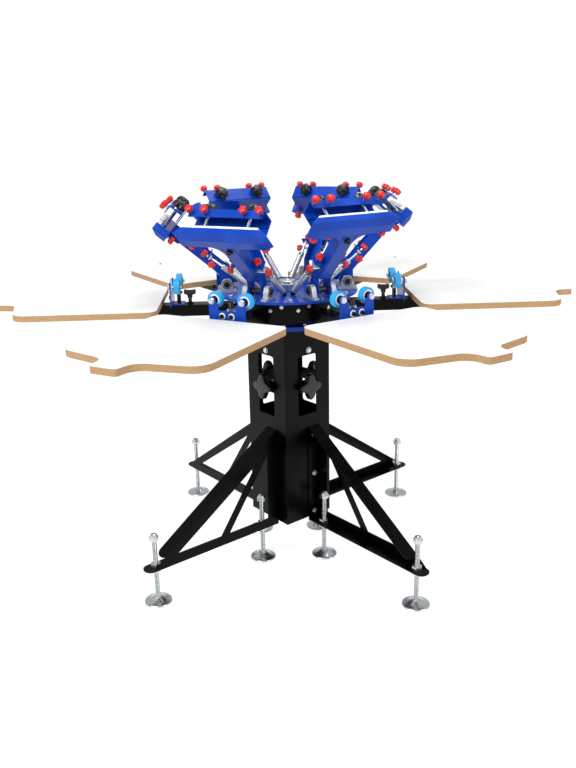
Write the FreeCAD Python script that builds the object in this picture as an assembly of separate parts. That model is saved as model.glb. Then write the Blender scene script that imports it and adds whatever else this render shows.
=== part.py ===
import FreeCAD, Part
import math
import os

# Screen printing press on a column. Millimetres; origin on the floor under the column, +Z up.
# The legs lie along X and Y; the carousels start at FIRST_ANGLE.

# Layout
STATIONS = 6
FIRST_ANGLE = 23.0
LEGS = 4
FULL_TURN = 360.0
HALF_TURN = 180.0

# Fits and stock
RUN_FIT = 0.05
FACE_GAP = 0.4
OVERRUN = 5.0
SHEET = 4.0
THIN_SHEET = 3.0
TOUCHING = 1e-6
HEX_SIDES = 6
KNOB_SIDES = 8
STEM_SIDES = 4
PIN_SIDES = 12
PAD_SIDES = 16
ROLLER_SIDES = 20

# Column
COLUMN_SIDE = 200.0
COLUMN_FOOT_Z = 137.0
COLUMN_TOP_Z = 836.0
TOP_PLATE = 8.0
WINDOW_WIDTH = 82.0
WINDOW_FOOT_Z = 525.0
WINDOW_TOP_Z = 738.0
WINDOW_CORNER = 9.0
FACE_BOLT_Z = 755.0
FACE_BOLT_SHIFT = 5.0

# Star knob behind each window
BAR_Z = 630.0
BAR_HEIGHT = 40.0
BAR_OVERLAP = 18.0
BAR_DEPTH = 6.0
STAR_LOBES = 4
STAR_LOBE_RADIUS = 19.0
STAR_LOBE_CENTRE = 27.0
STAR_DEPTH = 22.0
STAR_STEM_RADIUS = 9.0
STAR_STANDOFF = 3.0

# Cap and spindle
CAP_RADIUS = 150.0
CAP_DEPTH = 15.0
NECK_RADIUS = 120.0
SPINDLE_RADIUS = 30.0
THRUST_RADIUS = 60.0
SPINDLE_NUT_RADIUS = 44.0
SPINDLE_NUT_HEIGHT = 22.0
SPINDLE_TIP = 8.0

# Leg, drawn along +X with its web on the +Y side
LEG_WEB_Y = 50.0
FLANGE_WIDTH = 52.0
LEG_FOOT_Z = 125.0
LEG_TOP_Z = 481.0
LEG_REACH = 632.0
LEG_TIP_ROUND = 24.0
WEB_REACH = 612.0
RAIL_TOP_Z = 157.0
BRACE_END_X = 572.0
BRACE_END_Z = 158.0
POST_INNER_X = 145.0
STRUT_FOOT_IN_X = 316.0
STRUT_FOOT_OUT_X = 348.0
INNER_WINDOW_TOP_Z = 397.0
OUTER_APEX_X = 188.0
OUTER_APEX_Z = 380.0
OUTER_WINDOW_END_X = 524.0
MOUNT_FOOT_Z = 131.0
LEG_BOLT_Z = (156.0, 303.0, 450.0)

# Levelling feet
FOOT_INNER_X = 154.0
FOOT_END_GAP = 42.0
FOOT_Y = 24.0
FOOT_ROD_RADIUS = 8.0
FOOT_ROD_TOP_Z = 236.0
CAP_NUT_HEIGHT = 12.0
FOOT_NUT_RADIUS = 15.0
FOOT_NUT_HEIGHT = 13.0
PAD_RADIUS = 45.0
PAD_RIM = 6.0
PAD_HEIGHT = 20.0
PAD_BOSS_RADIUS = 15.0

# Hexagon screws
BOLT_HEAD_RADIUS = 9.0
BOLT_HEAD_HEIGHT = 7.0

# Lower carousel
HUB_RADIUS = 190.0
HUB_FOOT_Z = 872.0
HUB_TOP_Z = 936.0
ARM_WIDTH = 56.0
ARM_HEIGHT = 38.0
ARM_REACH = 780.0
PLATEN_SHEET = 20.0
PLATEN_INNER_R = 418.0
PLATEN_TIP_R = 962.0
PLATEN_HALF_WIDTH = 224.0
PLATEN_INNER_ROUND = 30.0
SHOULDER_R = 862.0
SHOULDER_ROUND = 55.0
TONGUE_ROOT_R = 897.0
TONGUE_ROOT_HALF = 47.0
TONGUE_ROOT_ROUND = 45.0
TONGUE_TIP_HALF = 42.0
TONGUE_TIP_ROUND = 12.0
GUIDE_LENGTH = 240.0
GUIDE_INSET = 60.0
GUIDE_DEPTH = 26.0

# Registration gate on each platen arm
ROLLER_R = 364.0
ROLLER_SPAN = 104.0
ROLLER_Z = 978.0
ROLLER_RADIUS = 25.0
ROLLER_WIDTH = 20.0
AXLE_RADIUS = 5.0
GATE_R = 385.0
GATE_EDGE = 11.0
GATE_TOP_Z = 990.0
HORN_ROOT_Z = 962.0
HORN_SLOPE = 16.0
NOTCH_WIDTH = 60.0
NOTCH_Z = 950.0
GATE_CHAMFER = 6.0
GATE_FOOT_LENGTH = 40.0
GATE_BOLT_Z = 934.0
GATE_BOLT_SPAN = 32.0
GATE_BOLT_RADIUS = 7.0
STOP_RADIUS = 7.0
STOP_NUT_RADIUS = 11.0
STOP_NUT_HEIGHT = 9.0
STOP_NUT_Z = 944.0

# Wing knob on each platen arm
WING_R = 327.0
WING_STEM_RADIUS = 6.0
WING_STEM_HEIGHT = 28.0
WING_SPAN = 40.0
WING_HEIGHT = 22.0
WING_DEPTH = 10.0

# Upper carousel
DISC_RADIUS = 238.0
DISC_FOOT_Z = 942.0
DISC_SHEET = 8.0
PIVOT_R = 200.0
PIVOT_RISE = 28.0
BLOCK_LENGTH = 66.0
BLOCK_FOOT = 8.0
BLOCK_WIDTH = 18.0
BLOCK_SPAN = 76.0
BLOCK_CROWN = 18.0
SHAFT_RADIUS = 10.0
SHAFT_LENGTH = 104.0

# Print head, drawn along +X from its pivot
HEAD_ANGLES = (48.0, 48.0, 40.0, 40.0, 48.0, 48.0)
HEAD_SINK = 3.0
HEAD_ARM_WIDTH = 48.0
ARM_FLOOR = 8.0
ARM_TOP = 45.0
CHEEK_RADIUS = 20.0
JAW_BACK = 245.0
JAW_FRONT = 298.0
JAW_FOOT = 0.0
JAW_TOP = 33.0
JAW_FOLD_U = 277.0
JAW_BULGE_V = 13.5
JAW_FOOT_HALF = 142.0
JAW_BULGE_HALF = 159.0
JAW_TOP_HALF = 132.0
CLAMP_HALF = 125.0
CLAMP_FOOT = 70.0
CLAMP_TOP = 98.0
CLAMP_BACK_GAP = 2.0
GUSSET_FOOT_U = 194.0
GUSSET_KNEE_U = 224.0
GUSSET_KNEE_T = 32.0
GUSSET_HALF = 100.0
GUSSET_ROUND = 40.0
STRIP_DEPTH = 15.0
STRIP_HEIGHT = 7.0
STRIP_HALF = 123.0
STUD_RADIUS = 5.0
STUD_PLAY = 0.5
STUD_HALF_SPAN = 72.0
STUD_END = 22.0
STUD_BORE_FLOOR = 3.0
CLAMP_KNOB_RADIUS = 23.0
CLAMP_KNOB_HEIGHT = 28.0
SMALL_KNOB_RADIUS = 11.5
SMALL_KNOB_HEIGHT = 17.0
SMALL_STEM_RADIUS = 4.0
SMALL_STEM_LENGTH = 7.0
FRONT_KNOB_T = (-118.0, -65.0, 65.0, 118.0)
FRONT_KNOB_V = 86.0
BACK_KNOB_T = 125.0
BACK_KNOB_V = 14.0
SIDE_KNOB_U = 80.0
SIDE_KNOB_V = 24.0
SIDE_STEM_LENGTH = 34.0
CONTACT_BOLT_U = 214.0
CONTACT_BOLT_RADIUS = 10.0
CONTACT_BOLT_HEIGHT = 8.0

# Lift springs, measured along their own line from the anchor on the disc
SPRING_T = 43.0
SPRING_FOOT_R = 99.0
SPRING_FOOT_Z = 952.0
SEAT_RADIUS = 8.0
ANCHOR_LENGTH = 16.0
SPRING_LENGTH = 104.0
SPRING_RADIUS = 10.0
CLEVIS_LENGTH = 18.0
CLEVIS_WIDTH = 16.0
TENSION_ROD_RADIUS = 4.0
LUG_U = 100.0
LUG_V = 36.0
LUG_BELOW = 16.0
LUG_ABOVE = 13.0
LUG_OUT_T = 58.0

X_AXIS = FreeCAD.Vector(1, 0, 0)
Y_AXIS = FreeCAD.Vector(0, 1, 0)
Z_AXIS = FreeCAD.Vector(0, 0, 1)
ORIGIN = FreeCAD.Vector(0, 0, 0)

CAP_TOP_Z = COLUMN_TOP_Z + CAP_DEPTH
ARM_TOP_Z = HUB_FOOT_Z + ARM_HEIGHT
PLATEN_TOP_Z = ARM_TOP_Z + PLATEN_SHEET
DISC_TOP_Z = DISC_FOOT_Z + DISC_SHEET
PIVOT_Z = DISC_TOP_Z + PIVOT_RISE
LEG_INNER_Y = LEG_WEB_Y - FLANGE_WIDTH
FOOT_X = (FOOT_INNER_X, LEG_REACH - FOOT_END_GAP)
GATE_WIDTH = ROLLER_SPAN + 2 * GATE_EDGE
AXLE_FLATS = AXLE_RADIUS * math.cos(math.pi / KNOB_SIDES)
STATION_ANGLES = [FIRST_ANGLE + FULL_TURN / STATIONS * k for k in range(STATIONS)]
HEADS = list(zip(STATION_ANGLES, HEAD_ANGLES))
LEG_ANGLES = [FULL_TURN / LEGS * k for k in range(LEGS)]


def at(x, y, z):
    """A point or a move."""
    return FreeCAD.Vector(x, y, z)


def block(x, y, z):
    """A box from three (low, high) spans."""
    return Part.makeBox(x[1] - x[0], y[1] - y[0], z[1] - z[0], at(x[0], y[0], z[0]))


def around(middle, width):
    """The span of a width about its middle."""
    return (middle - width / 2, middle + width / 2)


def rod(radius, length, foot, along):
    """A round bar, standing on its foot along any direction."""
    return Part.makeCylinder(radius, length, foot, along)


def corner_ring(sides, radius, z):
    """The corners of a regular outline whose flats lie at the radius."""
    corner = radius / math.cos(math.pi / sides)
    turns = [2 * math.pi * (k + 0.5) / sides for k in range(sides + 1)]
    return [at(corner * math.cos(turn), corner * math.sin(turn), z) for turn in turns]


def bar(sides, radius, length, foot, along):
    """A regular bar, standing on its foot along any direction."""
    solid = Part.Face(Part.makePolygon(corner_ring(sides, radius, 0))).extrude(Z_AXIS * length)
    solid.Placement = FreeCAD.Placement(foot, FreeCAD.Rotation(Z_AXIS, along))
    return solid


def taper(sides, low_radius, high_radius, height, foot):
    """A regular bar on Z whose flats draw in from one radius to the other."""
    low = corner_ring(sides, low_radius, 0)
    high = corner_ring(sides, high_radius, height)
    faces = [Part.Face(Part.makePolygon(ring)) for ring in (low, high)]
    for k in range(sides):
        faces.append(Part.Face(Part.makePolygon([low[k], low[k + 1], high[k + 1], high[k], low[k]])))
    solid = Part.Solid(Part.Shell(faces))
    if solid.Volume < 0:
        solid.reverse()
    solid.translate(foot)
    return solid


def grown(face, reach):
    """An extrusion along the face's own normal, so its inside is inside."""
    if face.normalAt(0, 0).dot(reach) > 0:
        return face.extrude(reach)
    return face.translated(reach).extrude(-reach)


def rounded(corners):
    """A flat face from (x, y, radius) corners, each radius a tangent arc."""
    edges = []
    ends = []
    for k, (x, y, radius) in enumerate(corners):
        here = at(x, y, 0)
        before = at(*corners[k - 1][:2], 0) - here
        after = at(*corners[(k + 1) % len(corners)][:2], 0) - here
        before.normalize()
        after.normalize()
        half = before.getAngle(after) / 2
        if radius == 0:
            ends.append((here, here))
            continue
        back = radius / math.tan(half)
        middle = before + after
        middle.normalize()
        crown = here + middle * (radius / math.sin(half) - radius)
        start = here + before * back
        stop = here + after * back
        edges.append(Part.Arc(start, crown, stop).toShape())
        ends.append((start, stop))
    for k, (_, leave) in enumerate(ends):
        arrive = ends[(k + 1) % len(ends)][0]
        if leave.distanceToPoint(arrive) > TOUCHING:
            edges.append(Part.LineSegment(leave, arrive).toShape())
    return Part.Face(Part.Wire(Part.__sortEdges__(edges)))


def level_plate(corners, low, high):
    """A plate lying flat: corners are (x, y, radius)."""
    face = rounded(corners)
    face.translate(at(0, 0, low))
    return grown(face, Z_AXIS * (high - low))


def side_plate(corners, low, high):
    """A plate standing along X: corners are (x, z, radius), low and high its Y span."""
    face = rounded(corners)
    face.rotate(ORIGIN, X_AXIS, HALF_TURN / 2)
    face.translate(at(0, high, 0))
    return grown(face, Y_AXIS * (low - high))


def cross_plate(corners, low, high):
    """A plate standing across X: corners are (y, z, radius), low and high its X span."""
    face = rounded(corners)
    face.rotate(ORIGIN, at(1, 1, 1), FULL_TURN / 3)
    face.translate(at(low, 0, 0))
    return grown(face, X_AXIS * (high - low))


def mirrored(half):
    """Corners on the +y side, followed by their mirror images."""
    return half + [(x, -y, radius) for x, y, radius in reversed(half)]


def opposed(half, middle=0):
    """Corners of an upright outline on one side of a middle line, followed by their mirror images."""
    return half + [(2 * middle - x, z, radius) for x, z, radius in reversed(half)]


def fuse(solids):
    """One solid of touching solids, without the seams between them."""
    return solids[0].fuse(solids[1:]).removeSplitter().Solids[0]


def turned(solid, angle):
    """A copy turned about the column's axis."""
    copy = solid.copy()
    copy.rotate(ORIGIN, Z_AXIS, angle)
    return copy


def repeated(solids, angles):
    """A copy of the solids at each angle round the column."""
    return [turned(solid, angle) for angle in angles for solid in solids]


def column_shell():
    """The square tube with its closed top and a window in each side."""
    half = COLUMN_SIDE / 2
    inner = half - SHEET
    shell = block((-half, half), (-half, half), (COLUMN_FOOT_Z, COLUMN_TOP_Z))
    hollow = block((-inner, inner), (-inner, inner), (COLUMN_FOOT_Z - OVERRUN, COLUMN_TOP_Z - TOP_PLATE))
    edge = WINDOW_WIDTH / 2
    corners = [(edge, WINDOW_FOOT_Z, WINDOW_CORNER), (edge, WINDOW_TOP_Z, WINDOW_CORNER)]
    corners += [(-edge, WINDOW_TOP_Z, WINDOW_CORNER), (-edge, WINDOW_FOOT_Z, WINDOW_CORNER)]
    reach = half + OVERRUN
    windows = [cross_plate(corners, -reach, reach), side_plate(corners, -reach, reach)]
    return [shell.cut([hollow] + windows)]


def column_cap():
    """The round plate on the column and the neck under the lower carousel."""
    plate = rod(CAP_RADIUS, CAP_DEPTH, at(0, 0, COLUMN_TOP_Z), Z_AXIS)
    neck = rod(NECK_RADIUS, HUB_FOOT_Z - CAP_TOP_Z, at(0, 0, CAP_TOP_Z), Z_AXIS)
    return [fuse([plate, neck])]


def spindle():
    """The fixed post that both carousels turn on, with its top nut."""
    nut_z = DISC_TOP_Z + FACE_GAP
    post = rod(SPINDLE_RADIUS, nut_z - HUB_FOOT_Z, at(0, 0, HUB_FOOT_Z), Z_AXIS)
    nut = bar(HEX_SIDES, SPINDLE_NUT_RADIUS, SPINDLE_NUT_HEIGHT, at(0, 0, nut_z), Z_AXIS)
    tip = bar(PIN_SIDES, SPINDLE_RADIUS, SPINDLE_TIP, at(0, 0, nut_z + SPINDLE_NUT_HEIGHT), Z_AXIS)
    return [fuse([post, nut, tip])]


def star_knob():
    """Four round lobes joined by a square waist, on the +X face."""
    face_x = COLUMN_SIDE / 2 + STAR_STANDOFF
    depth = (face_x, face_x + STAR_DEPTH)
    waist = 2 * STAR_LOBE_RADIUS
    body = [block(depth, around(0, waist), around(BAR_Z, waist))]
    for k in range(STAR_LOBES):
        angle = 2 * math.pi * k / STAR_LOBES
        y = STAR_LOBE_CENTRE * math.cos(angle)
        z = BAR_Z + STAR_LOBE_CENTRE * math.sin(angle)
        body.append(bar(KNOB_SIDES, STAR_LOBE_RADIUS, STAR_DEPTH, at(face_x, y, z), X_AXIS))
    return body


def column_knobs():
    """A star knob at each window, its stem on a flat bridge inside the column."""
    inner = COLUMN_SIDE / 2 - SHEET
    across = around(0, WINDOW_WIDTH + 2 * BAR_OVERLAP)
    bridge = block((inner - BAR_DEPTH, inner), across, around(BAR_Z, BAR_HEIGHT))
    stem = bar(KNOB_SIDES, STAR_STEM_RADIUS, SHEET + STAR_STANDOFF, at(inner, 0, BAR_Z), X_AXIS)
    return repeated([fuse([bridge, stem] + star_knob())], LEG_ANGLES)


def hex_bolt(foot, along, radius=BOLT_HEAD_RADIUS):
    """A hexagon head whose flats lie at the radius."""
    return bar(HEX_SIDES, radius, BOLT_HEAD_HEIGHT, foot, along)


def column_bolts():
    """The screws through each leg's mount and the one above each window."""
    face_x = COLUMN_SIDE / 2
    bolts = [hex_bolt(at(face_x + SHEET, FOOT_Y, z), X_AXIS) for z in LEG_BOLT_Z]
    bolts.append(hex_bolt(at(face_x, FACE_BOLT_SHIFT, FACE_BOLT_Z), X_AXIS))
    return repeated(bolts, LEG_ANGLES)


def leg_web():
    """The upright sheet of a leg, with a window on each side of its strut."""
    face_x = COLUMN_SIDE / 2
    outline = [(face_x, LEG_FOOT_Z, 0), (WEB_REACH, LEG_FOOT_Z, 0), (BRACE_END_X, BRACE_END_Z, 0)]
    outline.append((face_x, LEG_TOP_Z, 0))
    inner = [(POST_INNER_X, RAIL_TOP_Z, 0), (STRUT_FOOT_IN_X, RAIL_TOP_Z, 0)]
    inner.append((POST_INNER_X, INNER_WINDOW_TOP_Z, 0))
    outer = [(STRUT_FOOT_OUT_X, RAIL_TOP_Z, 0), (OUTER_WINDOW_END_X, RAIL_TOP_Z, 0)]
    outer.append((OUTER_APEX_X, OUTER_APEX_Z, 0))
    low = LEG_WEB_Y - SHEET
    web = side_plate(outline, low, LEG_WEB_Y)
    cuts = [side_plate(corners, low - OVERRUN, LEG_WEB_Y + OVERRUN) for corners in (inner, outer)]
    return web.cut(cuts)


def brace_flange():
    """The flange folded along the sloping top edge, drawn level and then tilted."""
    run = BRACE_END_X - COLUMN_SIDE / 2
    fall = LEG_TOP_Z - BRACE_END_Z
    corners = [(0, LEG_WEB_Y, 0), (0, LEG_INNER_Y, 0)]
    length = math.hypot(run, fall)
    corners += [(length, LEG_INNER_Y, LEG_TIP_ROUND), (length, LEG_WEB_Y, LEG_TIP_ROUND)]
    flange = level_plate(corners, -SHEET, 0)
    flange.rotate(ORIGIN, Y_AXIS, math.degrees(math.atan2(fall, run)))
    flange.translate(at(COLUMN_SIDE / 2, 0, LEG_TOP_Z))
    column = block((0, COLUMN_SIDE / 2), (-COLUMN_SIDE, COLUMN_SIDE), (0, COLUMN_TOP_Z))
    return flange.cut(column)


def leg():
    """The web with its floor rail, its mount on the column and the flange along its brace."""
    face_x = COLUMN_SIDE / 2
    corners = [(face_x, LEG_WEB_Y, 0), (face_x, LEG_INNER_Y, 0)]
    corners += [(LEG_REACH, LEG_INNER_Y, LEG_TIP_ROUND), (LEG_REACH, LEG_WEB_Y, LEG_TIP_ROUND)]
    rail = level_plate(corners, LEG_FOOT_Z, LEG_FOOT_Z + SHEET)
    mount = block((face_x, face_x + SHEET), (LEG_INNER_Y, LEG_WEB_Y), (MOUNT_FOOT_Z, LEG_TOP_Z - SHEET))
    frame = fuse([leg_web(), rail, mount, brace_flange()])
    span = SHEET + 2 * OVERRUN
    low = LEG_FOOT_Z - OVERRUN
    return frame.cut([bar(KNOB_SIDES, FOOT_ROD_RADIUS, span, at(x, FOOT_Y, low), Z_AXIS) for x in FOOT_X])


def foot_rods():
    """Levelling rods with a nut on each side of the rail and a cap nut."""
    length = FOOT_ROD_TOP_Z - PAD_HEIGHT
    rods = []
    for x in FOOT_X:
        pieces = [bar(KNOB_SIDES, FOOT_ROD_RADIUS, length, at(x, FOOT_Y, PAD_HEIGHT), Z_AXIS)]
        for z in (LEG_FOOT_Z - FOOT_NUT_HEIGHT, LEG_FOOT_Z + SHEET):
            pieces.append(bar(HEX_SIDES, FOOT_NUT_RADIUS, FOOT_NUT_HEIGHT, at(x, FOOT_Y, z), Z_AXIS))
        cap_z = FOOT_ROD_TOP_Z - CAP_NUT_HEIGHT
        pieces.append(bar(HEX_SIDES, FOOT_NUT_RADIUS, CAP_NUT_HEIGHT, at(x, FOOT_Y, cap_z), Z_AXIS))
        crown = at(x, FOOT_Y, FOOT_ROD_TOP_Z)
        pieces.append(taper(HEX_SIDES, FOOT_NUT_RADIUS, FOOT_ROD_RADIUS, CAP_NUT_HEIGHT, crown))
        rods.append(fuse(pieces))
    return repeated(rods, LEG_ANGLES)


def foot_pads():
    """Round pads that rise from a low rim to the rod."""
    rise = PAD_HEIGHT - PAD_RIM
    pads = []
    for x in FOOT_X:
        rim = bar(PAD_SIDES, PAD_RADIUS, PAD_RIM, at(x, FOOT_Y, 0), Z_AXIS)
        crown = taper(PAD_SIDES, PAD_RADIUS, PAD_BOSS_RADIUS, rise, at(x, FOOT_Y, PAD_RIM))
        pads.append(fuse([rim, crown]))
    return repeated(pads, LEG_ANGLES)


def platen_hub():
    """The drum that the platen arms are bolted to."""
    drum = rod(HUB_RADIUS, HUB_TOP_Z - HUB_FOOT_Z, at(0, 0, HUB_FOOT_Z), Z_AXIS)
    span = HUB_TOP_Z - HUB_FOOT_Z + 2 * OVERRUN
    return [drum.cut(rod(SPINDLE_RADIUS + RUN_FIT, span, at(0, 0, HUB_FOOT_Z - OVERRUN), Z_AXIS))]


def platen_arms():
    """Folded channels, open below, that start square on the drum."""
    outer = block((0, ARM_REACH), around(0, ARM_WIDTH), (HUB_FOOT_Z, ARM_TOP_Z))
    inside = around(0, ARM_WIDTH - 2 * SHEET)
    hollow = block((0, ARM_REACH - SHEET), inside, (HUB_FOOT_Z - OVERRUN, ARM_TOP_Z - SHEET))
    drum = rod(HUB_RADIUS, ARM_HEIGHT + 2 * OVERRUN, at(0, 0, HUB_FOOT_Z - OVERRUN), Z_AXIS)
    return repeated([outer.cut([hollow, drum])], STATION_ANGLES)


def platen():
    """The board with its tongue, and two guide cheeks that slide along the arm."""
    half = [(PLATEN_INNER_R, PLATEN_HALF_WIDTH, PLATEN_INNER_ROUND)]
    half.append((SHOULDER_R, PLATEN_HALF_WIDTH, SHOULDER_ROUND))
    half.append((TONGUE_ROOT_R, TONGUE_ROOT_HALF, TONGUE_ROOT_ROUND))
    half.append((PLATEN_TIP_R, TONGUE_TIP_HALF, TONGUE_TIP_ROUND))
    board = level_plate(mirrored(half), ARM_TOP_Z, PLATEN_TOP_Z)
    guide_start = PLATEN_INNER_R + GUIDE_INSET
    near = ARM_WIDTH / 2 + FACE_GAP
    span = (guide_start, guide_start + GUIDE_LENGTH)
    cheeks = []
    for side in (-1, 1):
        y = sorted((side * near, side * (near + SHEET)))
        cheeks.append(block(span, y, (ARM_TOP_Z - GUIDE_DEPTH, ARM_TOP_Z)))
    return fuse([board] + cheeks)


def gate_bracket():
    """An upright plate with a notch for the head's arm, on a folded foot."""
    half = GATE_WIDTH / 2
    notch = NOTCH_WIDTH / 2
    side = [(notch, NOTCH_Z, 0), (notch, HORN_ROOT_Z, 0), (notch + HORN_SLOPE, GATE_TOP_Z, 0)]
    side += [(half - GATE_CHAMFER, GATE_TOP_Z, 0), (half, GATE_TOP_Z - GATE_CHAMFER, 0)]
    side.append((half, ARM_TOP_Z, 0))
    plate = cross_plate(opposed(side), GATE_R, GATE_R + SHEET)
    foot = block((GATE_R - GATE_FOOT_LENGTH, GATE_R), around(0, ARM_WIDTH), (ARM_TOP_Z, ARM_TOP_Z + SHEET))
    bracket = fuse([plate, foot])
    low = GATE_R - OVERRUN
    span = SHEET + 2 * OVERRUN
    axles = around(0, ROLLER_SPAN)
    return bracket.cut([bar(KNOB_SIDES, AXLE_FLATS, span, at(low, y, ROLLER_Z), X_AXIS) for y in axles])


def axle_bolt(y):
    """Head, shank through roller and bracket, and nut, as one solid."""
    head_x = ROLLER_R - ROLLER_WIDTH / 2 - FACE_GAP - BOLT_HEAD_HEIGHT
    outer = GATE_R + SHEET
    shank = bar(KNOB_SIDES, AXLE_FLATS, outer - head_x, at(head_x, y, ROLLER_Z), X_AXIS)
    nut = hex_bolt(at(outer, y, ROLLER_Z), X_AXIS)
    return fuse([shank, hex_bolt(at(head_x, y, ROLLER_Z), X_AXIS), nut])


def stop_top_z():
    """Where the lowered arm's floor comes over the stop, less a face gap."""
    drop = math.radians(HEAD_SINK)
    reach = ROLLER_R + STOP_RADIUS - PIVOT_R
    return PIVOT_Z + ARM_FLOOR / math.cos(drop) - reach * math.tan(drop) - FACE_GAP


def gate_fasteners():
    """At each gate the centre stop with its nut, two axle bolts and two bracket screws."""
    foot_z = ARM_TOP_Z + SHEET
    stop = [bar(KNOB_SIDES, STOP_RADIUS, stop_top_z() - foot_z, at(ROLLER_R, 0, foot_z), Z_AXIS)]
    stop.append(bar(HEX_SIDES, STOP_NUT_RADIUS, STOP_NUT_HEIGHT, at(ROLLER_R, 0, STOP_NUT_Z), Z_AXIS))
    pieces = [fuse(stop)]
    for y in around(0, ROLLER_SPAN):
        pieces.append(axle_bolt(y))
    for y in around(0, GATE_BOLT_SPAN):
        pieces.append(hex_bolt(at(GATE_R + SHEET, y, GATE_BOLT_Z), X_AXIS, GATE_BOLT_RADIUS))
    return repeated(pieces, STATION_ANGLES)


def roller(y):
    """A tyre that runs on its axle bolt."""
    foot = at(ROLLER_R - ROLLER_WIDTH / 2, y, ROLLER_Z)
    tyre = bar(ROLLER_SIDES, ROLLER_RADIUS, ROLLER_WIDTH, foot, X_AXIS)
    bore = rod(AXLE_RADIUS + RUN_FIT, ROLLER_WIDTH, foot, X_AXIS)
    return tyre.cut(bore)


def platen_knobs():
    """A stem and a wing head with drawn-down tips on each platen arm."""
    stem = bar(KNOB_SIDES, WING_STEM_RADIUS, WING_STEM_HEIGHT, at(WING_R, 0, ARM_TOP_Z), Z_AXIS)
    foot = ARM_TOP_Z + WING_STEM_HEIGHT
    top = foot + WING_HEIGHT
    tip = WING_SPAN / 2
    neck = WING_SPAN / 4
    side = [(neck, foot, 0), (tip, foot + WING_HEIGHT / 3, 0), (tip, top, 0)]
    side.append((neck, top - WING_HEIGHT / 4, 0))
    wing = side_plate(opposed(side), -WING_DEPTH / 2, WING_DEPTH / 2)
    wing.translate(at(WING_R, 0, 0))
    return repeated([fuse([stem, wing])], STATION_ANGLES)


def head_disc():
    """The disc that carries the heads, with the thrust ring it turns on."""
    disc = rod(DISC_RADIUS, DISC_SHEET, at(0, 0, DISC_FOOT_Z), Z_AXIS)
    ring_z = HUB_TOP_Z + FACE_GAP
    ring = bar(PIN_SIDES, THRUST_RADIUS, DISC_FOOT_Z - ring_z, at(0, 0, ring_z), Z_AXIS)
    span = DISC_TOP_Z - ring_z + 2 * OVERRUN
    bore = rod(SPINDLE_RADIUS + RUN_FIT, span, at(0, 0, ring_z - OVERRUN), Z_AXIS)
    return [fuse([disc, ring]).cut(bore)]


def pillow_blocks():
    """Two bearing housings a head: a foot, a crown round the bore and shoulders between them."""
    half = BLOCK_LENGTH / 2
    foot_top = DISC_TOP_Z + BLOCK_FOOT
    crown_z = PIVOT_Z + BLOCK_CROWN
    flank = PIVOT_R + BLOCK_CROWN
    side = [(PIVOT_R + half, DISC_TOP_Z, 0), (PIVOT_R + half, foot_top, 0), (flank, foot_top, 0)]
    side += [(flank, PIVOT_Z + BLOCK_CROWN / 2, 0), (PIVOT_R + BLOCK_CROWN / 2, crown_z, 0)]
    blocks = []
    for middle in around(0, BLOCK_SPAN):
        low, high = around(middle, BLOCK_WIDTH)
        body = side_plate(opposed(side, PIVOT_R), low, high)
        foot = at(PIVOT_R, low - OVERRUN, PIVOT_Z)
        bore = bar(PIN_SIDES, SHAFT_RADIUS + RUN_FIT, BLOCK_WIDTH + 2 * OVERRUN, foot, Y_AXIS)
        blocks.append(body.cut(bore))
    return repeated(blocks, STATION_ANGLES)


def head_point(lift, u, v):
    """A point of the head's own frame at station zero, seen from the side."""
    turn = math.radians(lift)
    out = u * math.cos(turn) - v * math.sin(turn)
    up = u * math.sin(turn) + v * math.cos(turn)
    return at(PIVOT_R + out, 0, PIVOT_Z + up)


def spring_run(lift):
    """The straight run from the seat on the disc to the ear on the arm."""
    return head_point(lift, LUG_U, LUG_V) - at(SPRING_FOOT_R, 0, SPRING_FOOT_Z)


def on_spring(solid, side, lift):
    """Moves a solid drawn on Z to the spring's line on one side of the head."""
    copy = solid.copy()
    turn = FreeCAD.Rotation(Z_AXIS, spring_run(lift))
    foot = at(SPRING_FOOT_R, side * SPRING_T, SPRING_FOOT_Z)
    copy.Placement = FreeCAD.Placement(foot, turn).multiply(copy.Placement)
    return copy


def spring_anchors():
    """Round seats that rise from the disc along each spring's line."""
    seat = bar(HEX_SIDES, SEAT_RADIUS, 2 * ANCHOR_LENGTH, at(0, 0, -ANCHOR_LENGTH), Z_AXIS)
    span = (DISC_FOOT_Z - 2 * ANCHOR_LENGTH, DISC_TOP_Z)
    under = block(around(SPRING_FOOT_R, COLUMN_SIDE), around(0, COLUMN_SIDE), span)
    seats = []
    for angle, lift in HEADS:
        seats += repeated([on_spring(seat, side, lift).cut(under) for side in (-1, 1)], [angle])
    return seats


def springs():
    """Closely wound springs as bodies of their outer size."""
    coil = bar(PIN_SIDES, SPRING_RADIUS, SPRING_LENGTH, at(0, 0, ANCHOR_LENGTH), Z_AXIS)
    coils = []
    for angle, lift in HEADS:
        coils += repeated([on_spring(coil, side, lift) for side in (-1, 1)], [angle])
    return coils


def lifted(solid, lift):
    """Moves a solid from the head's own frame, pivot at its origin, to the raised head of station zero."""
    copy = solid.copy()
    copy.rotate(ORIGIN, Y_AXIS, -lift)
    copy.translate(at(PIVOT_R, 0, PIVOT_Z))
    return copy


def arm_cheeks():
    """The two side plates, cut to an octagon about the pivot and bored for its shaft."""
    flat = CHEEK_RADIUS
    cut = CHEEK_RADIUS / 2
    corners = [(-flat, -cut, 0), (-cut, -flat, 0), (cut, -flat, 0), (flat, -cut, 0)]
    corners += [(2 * flat, ARM_FLOOR, 0), (JAW_BACK, ARM_FLOOR, 0), (JAW_BACK, ARM_TOP, 0)]
    corners += [(flat, ARM_TOP, 0), (-flat, cut, 0)]
    half = HEAD_ARM_WIDTH / 2
    inner = half - THIN_SHEET
    bore = bar(KNOB_SIDES, SHAFT_RADIUS, 2 * HEAD_ARM_WIDTH, at(0, -HEAD_ARM_WIDTH, 0), Y_AXIS)
    plates = [side_plate(corners, -half, -inner), side_plate(corners, inner, half)]
    return [plate.cut(bore).Solids[0] for plate in plates]


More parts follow.
